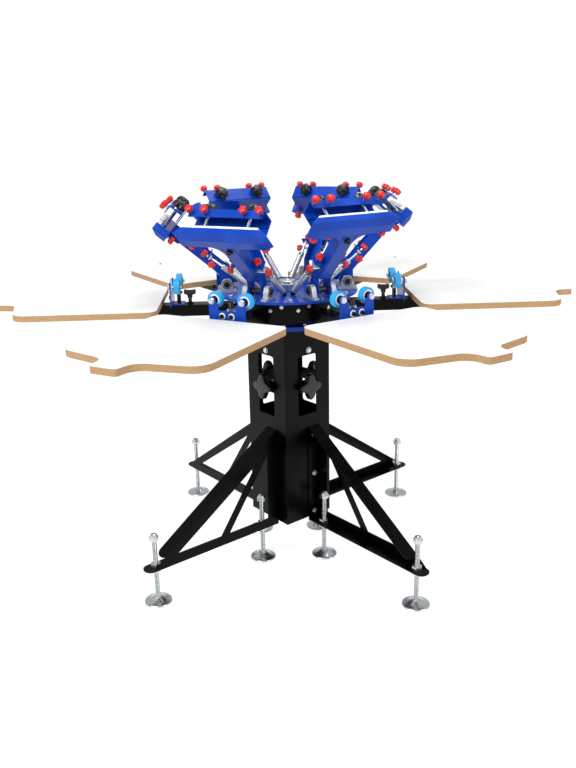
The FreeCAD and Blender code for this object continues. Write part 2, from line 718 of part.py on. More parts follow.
def arm_floor():
    """The arm's lower sheet between the side plates, from the pivot to the jaw."""
    across = around(0, HEAD_ARM_WIDTH - 2 * THIN_SHEET)
    return block((2 * CHEEK_RADIUS, JAW_BACK), across, (ARM_FLOOR, ARM_FLOOR + THIN_SHEET))


def gusset(side):
    """A plate with a hollow edge in the corner between a cheek and the jaw."""
    half = HEAD_ARM_WIDTH / 2
    corners = [(GUSSET_FOOT_U, half, 0), (GUSSET_KNEE_U, GUSSET_KNEE_T, GUSSET_ROUND)]
    corners += [(JAW_BACK, GUSSET_HALF, 0), (JAW_BACK, half, 0)]
    placed = [(u, side * t, radius) for u, t, radius in corners]
    return level_plate(placed, ARM_FLOOR, ARM_FLOOR + THIN_SHEET)


def lower_jaw():
    """The wide jaw with pointed ends and a raked front, and the plate that rises behind the clamp."""
    profile = [(JAW_BACK, JAW_FOOT, 0), (JAW_FOLD_U, JAW_FOOT, 0), (JAW_FRONT, JAW_BULGE_V, 0)]
    profile += [(JAW_FRONT, JAW_TOP, 0), (JAW_BACK, JAW_TOP, 0)]
    half = [(JAW_FOOT_HALF, JAW_FOOT, 0), (JAW_BULGE_HALF, JAW_BULGE_V, 0)]
    half.append((JAW_TOP_HALF, JAW_TOP, 0))
    ends = cross_plate(opposed(half), JAW_BACK, JAW_FRONT)
    jaw = side_plate(profile, -JAW_BULGE_HALF, JAW_BULGE_HALF).common(ends)
    sheet = (JAW_BACK, JAW_BACK + THIN_SHEET)
    back = block(sheet, (-CLAMP_HALF, CLAMP_HALF), (JAW_TOP, CLAMP_TOP))
    radius = STUD_RADIUS + STUD_PLAY
    depth = JAW_TOP - STUD_BORE_FLOOR + OVERRUN
    feet = [stud_foot(side, STUD_BORE_FLOOR) for side in (-1, 1)]
    return fuse([jaw, back]).cut([bar(KNOB_SIDES, radius, depth, foot, Z_AXIS) for foot in feet]).Solids[0]


def stud_foot(side, v):
    """A place on a clamp stud's axis at a height above the jaw's foot."""
    return at((JAW_BACK + THIN_SHEET + JAW_FRONT) / 2, side * STUD_HALF_SPAN, v)


def spring_lug(side, lift):
    """The ear on the arm's cheek that the tension rod pulls on."""
    reach = sorted((side * (HEAD_ARM_WIDTH / 2 - SPRING_T), side * (LUG_OUT_T - SPRING_T)))
    foot = spring_run(lift).Length
    return on_spring(block((-LUG_ABOVE, LUG_BELOW), reach, (foot, foot + SHEET)), side, lift)


def head_arm(lift):
    """The welded arm: side plates, floor and ears, and the jaw and two gussets at its end."""
    welded = arm_cheeks() + [arm_floor(), lower_jaw()] + [gusset(side) for side in (-1, 1)]
    ears = [spring_lug(side, lift) for side in (-1, 1)]
    return [lifted(piece, lift) for piece in welded] + ears


def small_knob(foot, along, stem=SMALL_STEM_LENGTH):
    """A screw's stem with its knob."""
    neck = bar(STEM_SIDES, SMALL_STEM_RADIUS, stem, foot, along)
    grip = bar(HEX_SIDES, SMALL_KNOB_RADIUS, SMALL_KNOB_HEIGHT, foot + along * stem, along)
    return fuse([neck, grip])


def clamp(lift):
    """The channel that closes on the frame, two clamp knobs on studs and four screws in front."""
    back = JAW_BACK + THIN_SHEET + CLAMP_BACK_GAP
    across = (-CLAMP_HALF, CLAMP_HALF)
    channel = block((back, JAW_FRONT), across, (CLAMP_FOOT, CLAMP_TOP))
    inside = (back + THIN_SHEET, JAW_FRONT - THIN_SHEET)
    longer = (-CLAMP_HALF - OVERRUN, CLAMP_HALF + OVERRUN)
    pieces = [channel.cut(block(inside, longer, (CLAMP_FOOT - OVERRUN, CLAMP_TOP - THIN_SHEET)))]
    for side in (-1, 1):
        low = stud_foot(side, STUD_END)
        top = stud_foot(side, CLAMP_TOP)
        pieces.append(bar(KNOB_SIDES, STUD_RADIUS, CLAMP_TOP - STUD_END, low, Z_AXIS))
        pieces.append(bar(KNOB_SIDES, CLAMP_KNOB_RADIUS, CLAMP_KNOB_HEIGHT, top, Z_AXIS))
    pieces += [small_knob(at(JAW_FRONT, t, FRONT_KNOB_V), X_AXIS) for t in FRONT_KNOB_T]
    return [lifted(fuse(pieces), lift)]


def tension_rod(side, lift):
    """Clevis, rod and the knob beyond the lug."""
    lug = spring_run(lift).Length
    fork_z = ANCHOR_LENGTH + SPRING_LENGTH
    fork = block(around(0, CLEVIS_WIDTH), around(0, CLEVIS_WIDTH), (fork_z, fork_z + CLEVIS_LENGTH))
    shank_z = fork_z + CLEVIS_LENGTH
    shank = bar(HEX_SIDES, TENSION_ROD_RADIUS, lug - shank_z, at(0, 0, shank_z), Z_AXIS)
    knob = small_knob(at(0, 0, lug + SHEET), Z_AXIS)
    return [on_spring(fuse([fork, shank]), side, lift), on_spring(knob, side, lift)]


def head_fittings(lift):
    """Pivot shaft, screws with their knobs, contact bolt, tension rods and the jaw's strip."""
    half = HEAD_ARM_WIDTH / 2
    pieces = [rod(SHAFT_RADIUS, SHAFT_LENGTH, at(0, -SHAFT_LENGTH / 2, 0), Y_AXIS)]
    rise = (JAW_TOP, JAW_TOP + STRIP_HEIGHT)
    pieces.append(block((JAW_FRONT - STRIP_DEPTH, JAW_FRONT), (-STRIP_HALF, STRIP_HALF), rise))
    foot = at(CONTACT_BOLT_U, 0, ARM_FLOOR)
    pieces.append(bar(KNOB_SIDES, CONTACT_BOLT_RADIUS, CONTACT_BOLT_HEIGHT, foot, -Z_AXIS))
    for side in (-1, 1):
        pieces.append(small_knob(at(JAW_BACK, side * BACK_KNOB_T, BACK_KNOB_V), -X_AXIS))
        foot = at(SIDE_KNOB_U, side * half, SIDE_KNOB_V)
        pieces.append(small_knob(foot, Y_AXIS * side, SIDE_STEM_LENGTH))
    placed = [lifted(piece, lift) for piece in pieces]
    for side in (-1, 1):
        placed += tension_rod(side, lift)
    return placed


def export(name, solids):
    """Writes one node."""
    shape = solids[0] if len(solids) == 1 else Part.makeCompound(solids)
    shape.exportStep("parts/" + name + ".step")


def export_repeated(name, solids, angles):
    """Writes a numbered node at each angle round the column."""
    for k, angle in enumerate(angles):
        export(name + "_" + str(k + 1), [turned(solid, angle) for solid in solids])


os.makedirs("parts", exist_ok=True)
for step in os.listdir("parts"):
    os.remove("parts/" + step)

export("column_shell", column_shell())
export("column_cap", column_cap())
export("column_knobs", column_knobs())
export("column_bolts", column_bolts())
export("spindle", spindle())
export_repeated("leg", [leg()], LEG_ANGLES)
export("foot_rods", foot_rods())
export("foot_pads", foot_pads())

export("platen_hub", platen_hub())
export("platen_arms", platen_arms())
export("platen_knobs", platen_knobs())
export("gate_brackets", repeated([gate_bracket()], STATION_ANGLES))
export("gate_fasteners", gate_fasteners())
export_repeated("platen", [platen()], STATION_ANGLES)
left_y, right_y = around(0, ROLLER_SPAN)
export_repeated("roller_left", [roller(left_y)], STATION_ANGLES)
export_repeated("roller_right", [roller(right_y)], STATION_ANGLES)

export("head_disc", head_disc())
export("pillow_blocks", pillow_blocks())
export("spring_anchors", spring_anchors())
export("springs", springs())
for k, (angle, lift) in enumerate(HEADS):
    number = "_" + str(k + 1)
    export("head_arm" + number, repeated(head_arm(lift), [angle]))
    export("clamp" + number, repeated(clamp(lift), [angle]))
    export("head_fittings" + number, repeated(head_fittings(lift), [angle]))
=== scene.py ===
import math

import bmesh
import bpy
from mathutils import Matrix, Vector


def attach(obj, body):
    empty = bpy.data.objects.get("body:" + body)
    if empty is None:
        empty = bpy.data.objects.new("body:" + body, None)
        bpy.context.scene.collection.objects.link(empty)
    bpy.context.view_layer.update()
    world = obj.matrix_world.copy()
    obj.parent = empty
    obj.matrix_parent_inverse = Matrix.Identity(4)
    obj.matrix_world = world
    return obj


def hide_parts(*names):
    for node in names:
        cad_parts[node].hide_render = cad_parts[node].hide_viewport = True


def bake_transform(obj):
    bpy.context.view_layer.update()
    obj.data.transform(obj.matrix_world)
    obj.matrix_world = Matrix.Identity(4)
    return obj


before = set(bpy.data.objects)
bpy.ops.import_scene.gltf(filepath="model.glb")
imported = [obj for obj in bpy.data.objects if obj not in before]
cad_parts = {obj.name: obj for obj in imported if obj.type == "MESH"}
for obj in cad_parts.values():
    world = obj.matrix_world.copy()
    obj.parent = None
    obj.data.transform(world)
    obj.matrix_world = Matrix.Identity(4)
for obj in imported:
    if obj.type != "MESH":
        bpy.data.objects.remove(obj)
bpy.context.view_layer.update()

# Column: a square tube of 4 mm sheet with a window in each side, welded, then powder coated black.
# The coat flows out to a gloss with a fine orange peel, and its edges are slightly rounded.


def linear(sheet_colour):
    """An sRGB hex value as the linear colour that a shader socket takes."""
    parts = [int(sheet_colour[k:k + 2], 16) / 255 for k in (1, 3, 5)]
    return [part / 12.92 if part < 0.04045 else ((part + 0.055) / 1.055) ** 2.4 for part in parts] + [1.0]


def add_node(tree, kind, settings=None, links=None):
    """Adds a node; settings are socket values or properties, links are outputs for its sockets."""
    node = tree.nodes.new(kind)
    for name, value in (settings or {}).items():
        if isinstance(name, int) or name in node.inputs:
            node.inputs[name].default_value = value
        else:
            setattr(node, name, value)
    for name, output in (links or {}).items():
        tree.links.new(output, node.inputs[name])
    return node


def new_material(name):
    """A material with its shader; returns it with its tree, its shader and the object's coordinates."""
    material = bpy.data.materials.new(name)
    material.use_nodes = True
    tree = material.node_tree
    spot = add_node(tree, "ShaderNodeTexCoord").outputs["Object"]
    return material, tree, tree.nodes["Principled BSDF"], spot


def grain(tree, spot, size, detail=2.0):
    """Cloudy noise at a spot, its lumps about size metres; 0 to 1."""
    noise = add_node(tree, "ShaderNodeTexNoise", {"Scale": 1 / size, "Detail": detail}, {"Vector": spot})
    spread = {"From Min": 0.35, "From Max": 0.65}
    return add_node(tree, "ShaderNodeMapRange", spread, {"Value": noise.outputs[0]}).outputs[0]


def blend_colours(tree, amount, first, second):
    """A colour between two sheet colours."""
    mix = tree.nodes.new("ShaderNodeMix")
    mix.data_type = "RGBA"
    mix.inputs[6].default_value = linear(first)
    mix.inputs[7].default_value = linear(second)
    tree.links.new(amount, mix.inputs[0])
    return mix.outputs[2]


def between(tree, amount, low, high):
    """A value between low and high, by an amount from 0 to 1."""
    return add_node(tree, "ShaderNodeMapRange", {"To Min": low, "To Max": high}, {"Value": amount}).outputs[0]


def coat(tree, shader, amount, first, second, smooth, rough):
    """Colour between two sheet colours and roughness between two values, both by one amount."""
    tree.links.new(blend_colours(tree, amount, first, second), shader.inputs["Base Color"])
    tree.links.new(between(tree, amount, smooth, rough), shader.inputs["Roughness"])


def raise_surface(tree, shader, height, depth):
    """Bump of a given depth in metres."""
    bump = add_node(tree, "ShaderNodeBump", {"Strength": 1.0, "Distance": depth}, {"Height": height})
    tree.links.new(bump.outputs["Normal"], shader.inputs["Normal"])


# Powder coat, gloss black: flat, with orange peel of about 3 mm and dust that dulls it in patches.
powder_coat, tree, shader, spot = new_material("gloss_black_powder_coat")
patches = grain(tree, spot, 0.09, 4.0)
coat(tree, shader, patches, "#010101", "#030304", 0.26, 0.36)
shader.inputs["Specular IOR Level"].default_value = 0.1
raise_surface(tree, shader, grain(tree, spot, 0.003), 0.00003)

SMOOTH_COSINE = math.cos(math.radians(32))
SHARP_ANGLE = math.radians(25)
WELD = 0.00002


def corner_normals(bm):
    """A normal for each face corner that follows the larger faces, so sheet stays flat by its eased edges."""
    bm.normal_update()
    normals = []
    for face in bm.faces:
        for vert in face.verts:
            near = [other for other in vert.link_faces if other.normal.dot(face.normal) > SMOOTH_COSINE]
            total = sum((other.normal * other.calc_area() ** 2 for other in near), Vector())
            normals.append(total.normalized() if total.length > 0 else face.normal)
    return normals


def finished(name, bm, materials, body, nodes=(), place=Matrix.Identity(4)):
    """Makes a piece of the mesh, moved to its place, riding on its body and standing for CAD nodes."""
    mesh = bpy.data.meshes.new(name)
    bm.to_mesh(mesh)
    for material in materials:
        mesh.materials.append(material)
    mesh.shade_smooth()
    mesh.normals_split_custom_set(corner_normals(bm))
    mesh.transform(place)
    piece = bpy.data.objects.new(name, mesh)
    bpy.context.scene.collection.objects.link(piece)
    if body:
        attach(piece, body)
    if nodes:
        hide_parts(*nodes)
    return piece


def ease_edges(bm, edges, ease):
    """Rounds edges in two steps."""
    bmesh.ops.bevel(
        bm, geom=list(edges), offset=ease, segments=2, profile=0.5, affect="EDGES", clamp_overlap=True,
        material=-1,
    )


def part_solids(bm):
    """Parts plates that touch along a merged edge or corner, so that each is eased on its own."""
    seen = set()
    plates = []
    for first in bm.faces:
        plate = [] if first in seen else [first]
        seen.add(first)
        for face in plate:
            rims = [edge for edge in face.edges if len(edge.link_faces) == 2]
            for near in [near for edge in rims for near in edge.link_faces]:
                if near not in seen:
                    seen.add(near)
                    plate.append(near)
        if plate:
            plates.append(plate)
    for plate in plates[1:]:
        bmesh.ops.split(bm, geom=plate)


def eased_copy(node, body, material, ease):
    """The CAD node's own shape with its edges rounded, for sheet metal and turned parts."""
    bm = bmesh.new()
    bm.from_mesh(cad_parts[node].data)
    bmesh.ops.remove_doubles(bm, verts=bm.verts, dist=WELD)
    part_solids(bm)
    bmesh.ops.dissolve_limit(bm, angle_limit=math.radians(0.5), verts=bm.verts, edges=bm.edges)
    sharp = [edge for edge in bm.edges if edge.is_manifold and edge.calc_face_angle(0) > SHARP_ANGLE]
    ease_edges(bm, sharp, ease)
    for face in bm.faces:
        face.material_index = 0
    return finished(node + "_eased", bm, [material], body, [node])


eased_copy("column_shell", "base", powder_coat, 0.0012)

# Cap: a round plate welded on the column with a neck under the lower carousel, both enamelled blue.
# Four zinc screws hold the drum's bearing from below and show at the plate's rim.
CAP_TOP_Z = 0.851
CAP_SCREW_R = 0.134
CAP_SCREW_FLATS = 0.006
CAP_SCREW_HEIGHT = 0.005
CAP_SCREWS = 12

# Stoving enamel, royal blue: deep gloss under a clear coat, with a long soft orange peel.
blue_enamel, tree, shader, spot = new_material("royal_blue_stoving_enamel")
flow = grain(tree, spot, 0.07, 3.0)
coat(tree, shader, flow, "#05389E", "#0841AE", 0.2, 0.28)
shader.inputs["Specular IOR Level"].default_value = 0.22
raise_surface(tree, shader, grain(tree, spot, 0.004), 0.00003)

# Bright zinc plate on steel: a cool metal with spangles of about 5 mm that differ a little in gloss.
SPANGLE = 0.005
zinc, tree, shader, spot = new_material("bright_zinc_plate")
spangle = add_node(tree, "ShaderNodeTexVoronoi", {"Scale": 1 / SPANGLE}, {"Vector": spot}).outputs["Color"]
spangle = add_node(tree, "ShaderNodeSeparateColor", links={"Color": spangle}).outputs[0]
coat(tree, shader, spangle, "#CCD2D6", "#D6DCE0", 0.27, 0.31)
shader.inputs["Metallic"].default_value = 1.0


def part_faces(bm, before, finish):
    """Gives the faces made since before their finish, and turns them outwards."""
    fresh = [face for face in bm.faces if face not in before]
    for face in fresh:
        face.material_index = finish
    bmesh.ops.recalc_face_normals(bm, faces=fresh)
    return fresh


def edges_at(verts):
    """The edges at some vertices, each once and in order."""
    return list(dict.fromkeys(edge for vert in verts for edge in vert.link_edges))


def add_bar(bm, sides, radius, height, place, finish=0, ease=0.0005):
    """A regular bar on its foot at place, along its Z, flats at the radius, edges eased."""
    before = set(bm.faces)
    corner = radius / math.cos(math.pi / sides)
    seat = place @ Matrix.Translation((0, 0, height / 2)) @ Matrix.Rotation(math.pi / sides, 4, "Z")
    made = bmesh.ops.create_cone(
        bm, cap_ends=True, segments=sides, radius1=corner, radius2=corner, depth=height, matrix=seat
    )
    ease_edges(bm, edges_at(made["verts"]), ease)
    return part_faces(bm, before, finish)


def facing(foot, along):
    """A place at foot whose Z looks along a direction."""
    turn = Vector((0, 0, 1)).rotation_difference(Vector(along))
    return Matrix.Translation(foot) @ turn.to_matrix().to_4x4()


eased_copy("column_cap", "base", blue_enamel, 0.0015)
bm = bmesh.new()
for k in range(CAP_SCREWS):
    turn = Matrix.Rotation(2 * math.pi * (k + 0.5) / CAP_SCREWS, 4, "Z")
    add_bar(bm, 6, CAP_SCREW_FLATS, CAP_SCREW_HEIGHT, turn @ Matrix.Translation((CAP_SCREW_R, 0, CAP_TOP_Z)))
finished("cap_screws", bm, [zinc], "base")

# Star knobs: a four-lobed knob moulded from phenolic outside each window, with a zinc screw in its
# middle. Its stem passes the window to a flat steel bridge screwed inside the column.
STAR_FACE_X = 0.103
STAR_Z = 0.630
STAR_REACH = 0.046
STAR_DEPTH = 0.022
STAR_WAIST = 0.42
STAR_SCREW_RADIUS = 0.009
STAR_SCREW_LENGTH = 0.007
BRIDGE = ((0.090, 0.096), (-0.059, 0.059), (0.610, 0.650))

# Phenolic, moulded black: hard gloss with a faint cloud from the mould.
phenolic, tree, shader, spot = new_material("moulded_black_phenolic")
cloud = grain(tree, spot, 0.02, 3.0)
coat(tree, shader, cloud, "#060607", "#0E0F10", 0.2, 0.34)
raise_surface(tree, shader, grain(tree, spot, 0.0015), 0.00003)


def drum_profile(radius, low, high):
    """The outline of a plain drum between two heights, for a turned part."""
    return [(0, low), (radius, low), (radius, high), (0, high)]


def add_turned(bm, profile, place, finish=0, steps=24, lobes=0, waist=0.0):
    """A turned part from (radius, height) points; lobes draw its rim in between them by waist."""
    before = set(bm.faces)
    ring = [bm.verts.new((radius, 0, height)) for radius, height in profile]
    edges = [bm.edges.new(pair) for pair in zip(ring, ring[1:])]
    made = bmesh.ops.spin(
        bm, geom=ring + edges, cent=(0, 0, 0), axis=(0, 0, 1), angle=2 * math.pi, steps=steps, use_merge=True
    )
    verts = {vert for face in bm.faces if face not in before for vert in face.verts}
    bmesh.ops.remove_doubles(bm, verts=list(verts), dist=0.000001)
    verts = {vert for face in bm.faces if face not in before for vert in face.verts}
    rim = max(radius for radius, height in profile)
    for vert in verts:
        reach = math.hypot(vert.co.x, vert.co.y)
        if lobes and reach > 0.5 * rim:
            turn = math.atan2(vert.co.y, vert.co.x)
            draw = 1 - waist * (0.5 - 0.5 * math.cos(lobes * turn)) * (reach / rim)
            vert.co.x *= draw
            vert.co.y *= draw
        vert.co = place @ vert.co
    return part_faces(bm, before, finish)


def add_block(bm, x, y, z, place=Matrix.Identity(4), finish=0, ease=0.0006):
    """A block from three (low, high) spans, its edges eased."""
    before = set(bm.faces)
    size = [high - low for low, high in (x, y, z)]
    middle = Vector([(low + high) / 2 for low, high in (x, y, z)])
    made = bmesh.ops.create_cube(bm, size=1.0)
    for vert in made["verts"]:
        vert.co = Vector([value * side for value, side in zip(vert.co, size)]) + middle
        vert.co = place @ vert.co
    ease_edges(bm, edges_at(made["verts"]), ease)
    return part_faces(bm, before, finish)


STAR_PROFILE = [
    (0, 0), (0.3 * STAR_REACH, 0), (0.9 * STAR_REACH, 0), (STAR_REACH, 0.004),
    (STAR_REACH, STAR_DEPTH - 0.006), (0.92 * STAR_REACH, STAR_DEPTH - 0.001),
    (0.55 * STAR_REACH, STAR_DEPTH), (0.3 * STAR_REACH, STAR_DEPTH), (0, STAR_DEPTH),
]
bm = bmesh.new()
for k in range(4):
    turn = Matrix.Rotation(math.pi / 2 * k, 4, "Z")
    add_block(bm, *BRIDGE, turn, 1)
    out = turn @ facing((STAR_FACE_X, 0, STAR_Z), (1, 0, 0))
    add_turned(bm, STAR_PROFILE, out, 0, 64, 4, STAR_WAIST)
    add_turned(bm, drum_profile(STAR_SCREW_RADIUS, -STAR_SCREW_LENGTH, 0), out, 2, 16)
finished("star_knobs", bm, [phenolic, powder_coat, zinc], "base", ["column_knobs"])

# Leg bolts: hexagon screws with their washers, plated with zinc. Three go down the mount of each leg
# into the column, and one is high on each face.
BOLT_FLATS = 0.009
BOLT_HEIGHT = 0.007
WASHER = 0.0012
LEG_BOLTS = [(0.104, 0.024, 0.156), (0.104, 0.024, 0.303), (0.104, 0.024, 0.450), (0.100, 0.005, 0.755)]


def add_hex_bolt(bm, place, flats=BOLT_FLATS, height=BOLT_HEIGHT, finish=0):
    """A hexagon head with a washer under it and a chamfered crown."""
    shoulder = 0.82 * height
    add_turned(bm, drum_profile(1.12 * flats, 0, WASHER), place, finish, 24)
    add_bar(bm, 6, 0.92 * flats, shoulder - WASHER, place @ Matrix.Translation((0, 0, WASHER)), finish)
    crown = [(0, 0), (0.84 * flats, 0), (0.7 * flats, height - shoulder), (0, height - shoulder)]
    add_turned(bm, crown, place @ Matrix.Translation((0, 0, shoulder)), finish, 24)


bm = bmesh.new()
for k in range(4):
    turn = Matrix.Rotation(math.pi / 2 * k, 4, "Z")
    for foot in LEG_BOLTS:
        add_hex_bolt(bm, turn @ facing(foot, (1, 0, 0)))
finished("leg_bolts", bm, [zinc], "base", ["column_bolts"])

# Legs: each is one frame of 4 mm sheet, folded and welded, with a rail along the floor and a sloping
# brace. It is powder coated with the column and bolted to it.
for k in range(4):
    eased_copy(f"leg_{k + 1}", "base", powder_coat, 0.001)

# Levelling feet: threaded rods plated with zinc that screw through the rails, with nuts on both sides
# to lock them, a domed nut on top and a pressed round pad below.
FEET = [(x, 0.024) for x in (0.154, 0.590)]
ROD_RADIUS = 0.008
THREAD_DEPTH = 0.0007
THREAD_PITCH = 0.003
ROD_FOOT_Z = 0.018
ROD_TOP_Z = 0.226
LOCK_NUTS_Z = (0.112, 0.129)
NUT_FLATS = 0.015
NUT_HEIGHT = 0.013
DOME_NUT_Z = 0.224
PAD_PROFILE = [
    (0, 0), (0.043, 0), (0.045, 0.0015), (0.045, 0.005), (0.0435, 0.0068), (0.036, 0.0085),
    (0.028, 0.0115), (0.019, 0.0165), (0.0155, 0.0185), (0.0135, 0.020), (0, 0.020),
]
DOME_PROFILE = [(0, 0), (0.0125, 0), (0.0122, 0.004), (0.0105, 0.0085), (0.006, 0.0112), (0, 0.012)]


def thread_profile(radius, low, high, pitch=THREAD_PITCH, depth=THREAD_DEPTH):
    """Crests and roots from low to high, for a threaded rod."""
    turns = int((high - low) / pitch)
    points = [(0, low)]
    for k in range(turns):
        points += [(radius - depth, low + pitch * k), (radius, low + pitch * (k + 0.5))]
    return points + [(radius - depth, high), (0, high)]


bm = bmesh.new()
for k in range(4):
    turn = Matrix.Rotation(math.pi / 2 * k, 4, "Z")
    for x, y in FEET:
        place = turn @ Matrix.Translation((x, y, 0))
        add_turned(bm, thread_profile(ROD_RADIUS, ROD_FOOT_Z, ROD_TOP_Z), place, 0, 12)
        for z in LOCK_NUTS_Z:
            add_bar(bm, 6, NUT_FLATS, NUT_HEIGHT, place @ Matrix.Translation((0, 0, z)), 0, 0.001)
        dome = place @ Matrix.Translation((0, 0, DOME_NUT_Z))
        add_bar(bm, 6, NUT_FLATS, NUT_HEIGHT - 0.001, dome, 0, 0.001)
        add_turned(bm, DOME_PROFILE, dome @ Matrix.Translation((0, 0, 0.012)), 0, 20)
finished("foot_rods_threaded", bm, [zinc], "base", ["foot_rods"])

bm = bmesh.new()
for k in range(4):
    turn = Matrix.Rotation(math.pi / 2 * k, 4, "Z")
    for x, y in FEET:
        add_turned(bm, PAD_PROFILE, turn @ Matrix.Translation((x, y, 0)), 0, 40)
finished("foot_pads_pressed", bm, [zinc], "base", ["foot_pads"])

# Drum: a deep ring turned from steel and powder coated black, that runs on the central post. The zinc
# screws of the arms stand in rows on its side.
STATION_TURN = math.radians(23)
HUB_RADIUS = 0.190
HUB_SCREW_Z = (0.914, 0.926)
HUB_SCREW_ANGLES = (-22, -11, 11, 22)
HUB_SCREW_FLATS = 0.0055
HUB_SCREW_HEIGHT = 0.005
HUB_SCREW_SINK = 0.0006


def station(k):
    """The turn to the k-th of six stations round the press."""
    return Matrix.Rotation(STATION_TURN + math.pi / 3 * k, 4, "Z")


eased_copy("platen_hub", "platen_carousel", powder_coat, 0.002)
bm = bmesh.new()
for k in range(6):
    for n, angle in enumerate(HUB_SCREW_ANGLES):
        turn = station(k) @ Matrix.Rotation(math.radians(angle), 4, "Z")
        head = facing((HUB_RADIUS - HUB_SCREW_SINK, 0, HUB_SCREW_Z[n % 2]), (1, 0, 0))
        add_hex_bolt(bm, turn @ head, HUB_SCREW_FLATS, HUB_SCREW_HEIGHT)
finished("hub_screws", bm, [zinc], "platen_carousel")

# Platen arms: six channels folded from sheet, open below. They are powder coated with the drum and
# bolted to it.
eased_copy("platen_arms", "platen_carousel", powder_coat, 0.0012)

# Platens: laminated fibreboard, 20 mm thick, with routed corners. The white laminate covers the top
# only, the sanded fibreboard edge is left bare, and two folded steel guides run on the arm below.
PLATEN_LOW_Z = 0.910
PLATEN_TOP_Z = 0.930
LAMINATE = 0.001
GUIDE_R = (0.478, 0.718)
GUIDE_T = (0.0284, 0.0324)
GUIDE_Z = (0.884, PLATEN_LOW_Z)
PLATEN_CORNERS = [
    (0.418, 0.224, 0.030), (0.862, 0.224, 0.055), (0.897, 0.047, 0.045), (0.962, 0.042, 0.012),
]

# High-pressure laminate, white: even satin with a very fine pebble.
laminate, tree, shader, spot = new_material("white_melamine_laminate")
haze = grain(tree, spot, 0.12, 4.0)
coat(tree, shader, haze, "#DEDEDC", "#E4E4E2", 0.32, 0.42)
raise_surface(tree, shader, grain(tree, spot, 0.002), 0.00002)

# Medium-density fibreboard, sawn: warm brown, matt, with fibres about 4 mm long lying level.
fibreboard, tree, shader, spot = new_material("sawn_fibreboard_edge")
level = add_node(tree, "ShaderNodeMapping", {"Scale": (1.0, 1.0, 5.0)}, {"Vector": spot}).outputs[0]
fibres = grain(tree, level, 0.004, 5.0)
tree.links.new(blend_colours(tree, fibres, "#A07A50", "#C2A078"), shader.inputs["Base Color"])
shader.inputs["Roughness"].default_value = 0.85
raise_surface(tree, shader, fibres, 0.0002)


RIM_ANGLE = math.radians(20)


def add_plate(bm, corners, low, high, place=Matrix.Identity(4), finish=0, ease=0.0006):
    """A plate from (x, y) corners in order, raised from low to high along its Z, edges eased."""
    before = set(bm.faces)
    ring = [bm.verts.new((x, y, low)) for x, y in corners]
    made = bmesh.ops.extrude_face_region(bm, geom=[bm.faces.new(ring)])
    raised = [vert for vert in made["geom"] if isinstance(vert, bmesh.types.BMVert)]
    bmesh.ops.translate(bm, verts=raised, vec=(0, 0, high - low))
    bmesh.ops.transform(bm, matrix=place, verts=ring + raised)
    fresh = [face for face in bm.faces if face not in before]
    bmesh.ops.recalc_face_normals(bm, faces=fresh)
    rims = [edge for edge in edges_at(ring + raised) if edge.calc_face_angle(0) > RIM_ANGLE]
    ease_edges(bm, rims, ease)
    return part_faces(bm, before, finish)


def rounded_corners(corners, steps=8):
    """Points along an outline of (x, y, radius) corners, each corner a tangent arc."""
    points = []
    for k, (x, y, radius) in enumerate(corners):
        here = Vector((x, y))
        before = (Vector(corners[k - 1][:2]) - here).normalized()
        after = (Vector(corners[(k + 1) % len(corners)][:2]) - here).normalized()
        half = before.angle(after) / 2
        centre = here + (before + after).normalized() * (radius / math.sin(half))
        start = here + before * (radius / math.tan(half)) - centre
        stop = here + after * (radius / math.tan(half)) - centre
        sweep = start.angle_signed(stop)
        for n in range(steps + 1):
            turn = -sweep * n / steps
            points.append(tuple(centre + Matrix.Rotation(turn, 2) @ start))
    return points


outline = PLATEN_CORNERS + [(x, -y, radius) for x, y, radius in reversed(PLATEN_CORNERS)]
outline = rounded_corners(outline)
for k in range(6):
    bm = bmesh.new()
    add_plate(bm, outline, PLATEN_LOW_Z, PLATEN_TOP_Z - LAMINATE, finish=1, ease=0.0008)
    add_plate(bm, outline, PLATEN_TOP_Z - LAMINATE, PLATEN_TOP_Z, finish=0, ease=0.0003)
    for side in (-1, 1):
        cheek = sorted(side * t for t in GUIDE_T)
        add_block(bm, GUIDE_R, cheek, GUIDE_Z, finish=2)
    finishes = [laminate, fibreboard, powder_coat]
    node = f"platen_{k + 1}"
    finished(f"platen_board_{k + 1}", bm, finishes, node, [node], station(k))

# Gates: brackets folded from sheet with two horns and enamelled blue. One is screwed on each arm, and
# the lowered head comes to rest between its horns.
eased_copy("gate_brackets", "platen_carousel", blue_enamel, 0.0012)

# Gate fasteners: axle bolts through the rollers, a centre stop screw with its nut, and two screws
# whose white nylon washers show round their dark sockets.
ROLLER_R = 0.364
ROLLER_T = 0.052
ROLLER_Z = 0.978
ROLLER_WIDTH = 0.020
GATE_FACE_R = 0.389
AXLE_RADIUS = 0.005
AXLE_LENGTH = 0.036
AXLE_PLAY = 0.0004
GATE_SCREW_T = 0.016
GATE_SCREW_Z = 0.934
GATE_WASHER_PROFILE = [(0, 0), (0.0105, 0), (0.0105, WASHER), (0.0095, 0.002), (0, 0.002)]
SOCKET_HEAD_PROFILE = [
    (0, 0.002), (0.007, 0.002), (0.007, 0.0062), (0.0062, 0.007), (0.0045, 0.007), (0.0042, 0.0045),
    (0, 0.0045),
]
STOP_RADIUS = 0.007
STOP_FOOT_Z = 0.914
STOP_TOP_Z = 0.9766
STOP_THREAD_DEPTH = 0.0006
STOP_NUT_Z = 0.944
STOP_NUT_FLATS = 0.011
STOP_NUT_HEIGHT = 0.009

# Nylon, moulded white: soft gloss, slightly warm.
nylon, tree, shader, spot = new_material("moulded_white_nylon")
cloud = grain(tree, spot, 0.01, 2.0)
tree.links.new(blend_colours(tree, cloud, "#E6E8E9", "#F6F7F7"), shader.inputs["Base Color"])
shader.inputs["Roughness"].default_value = 0.4

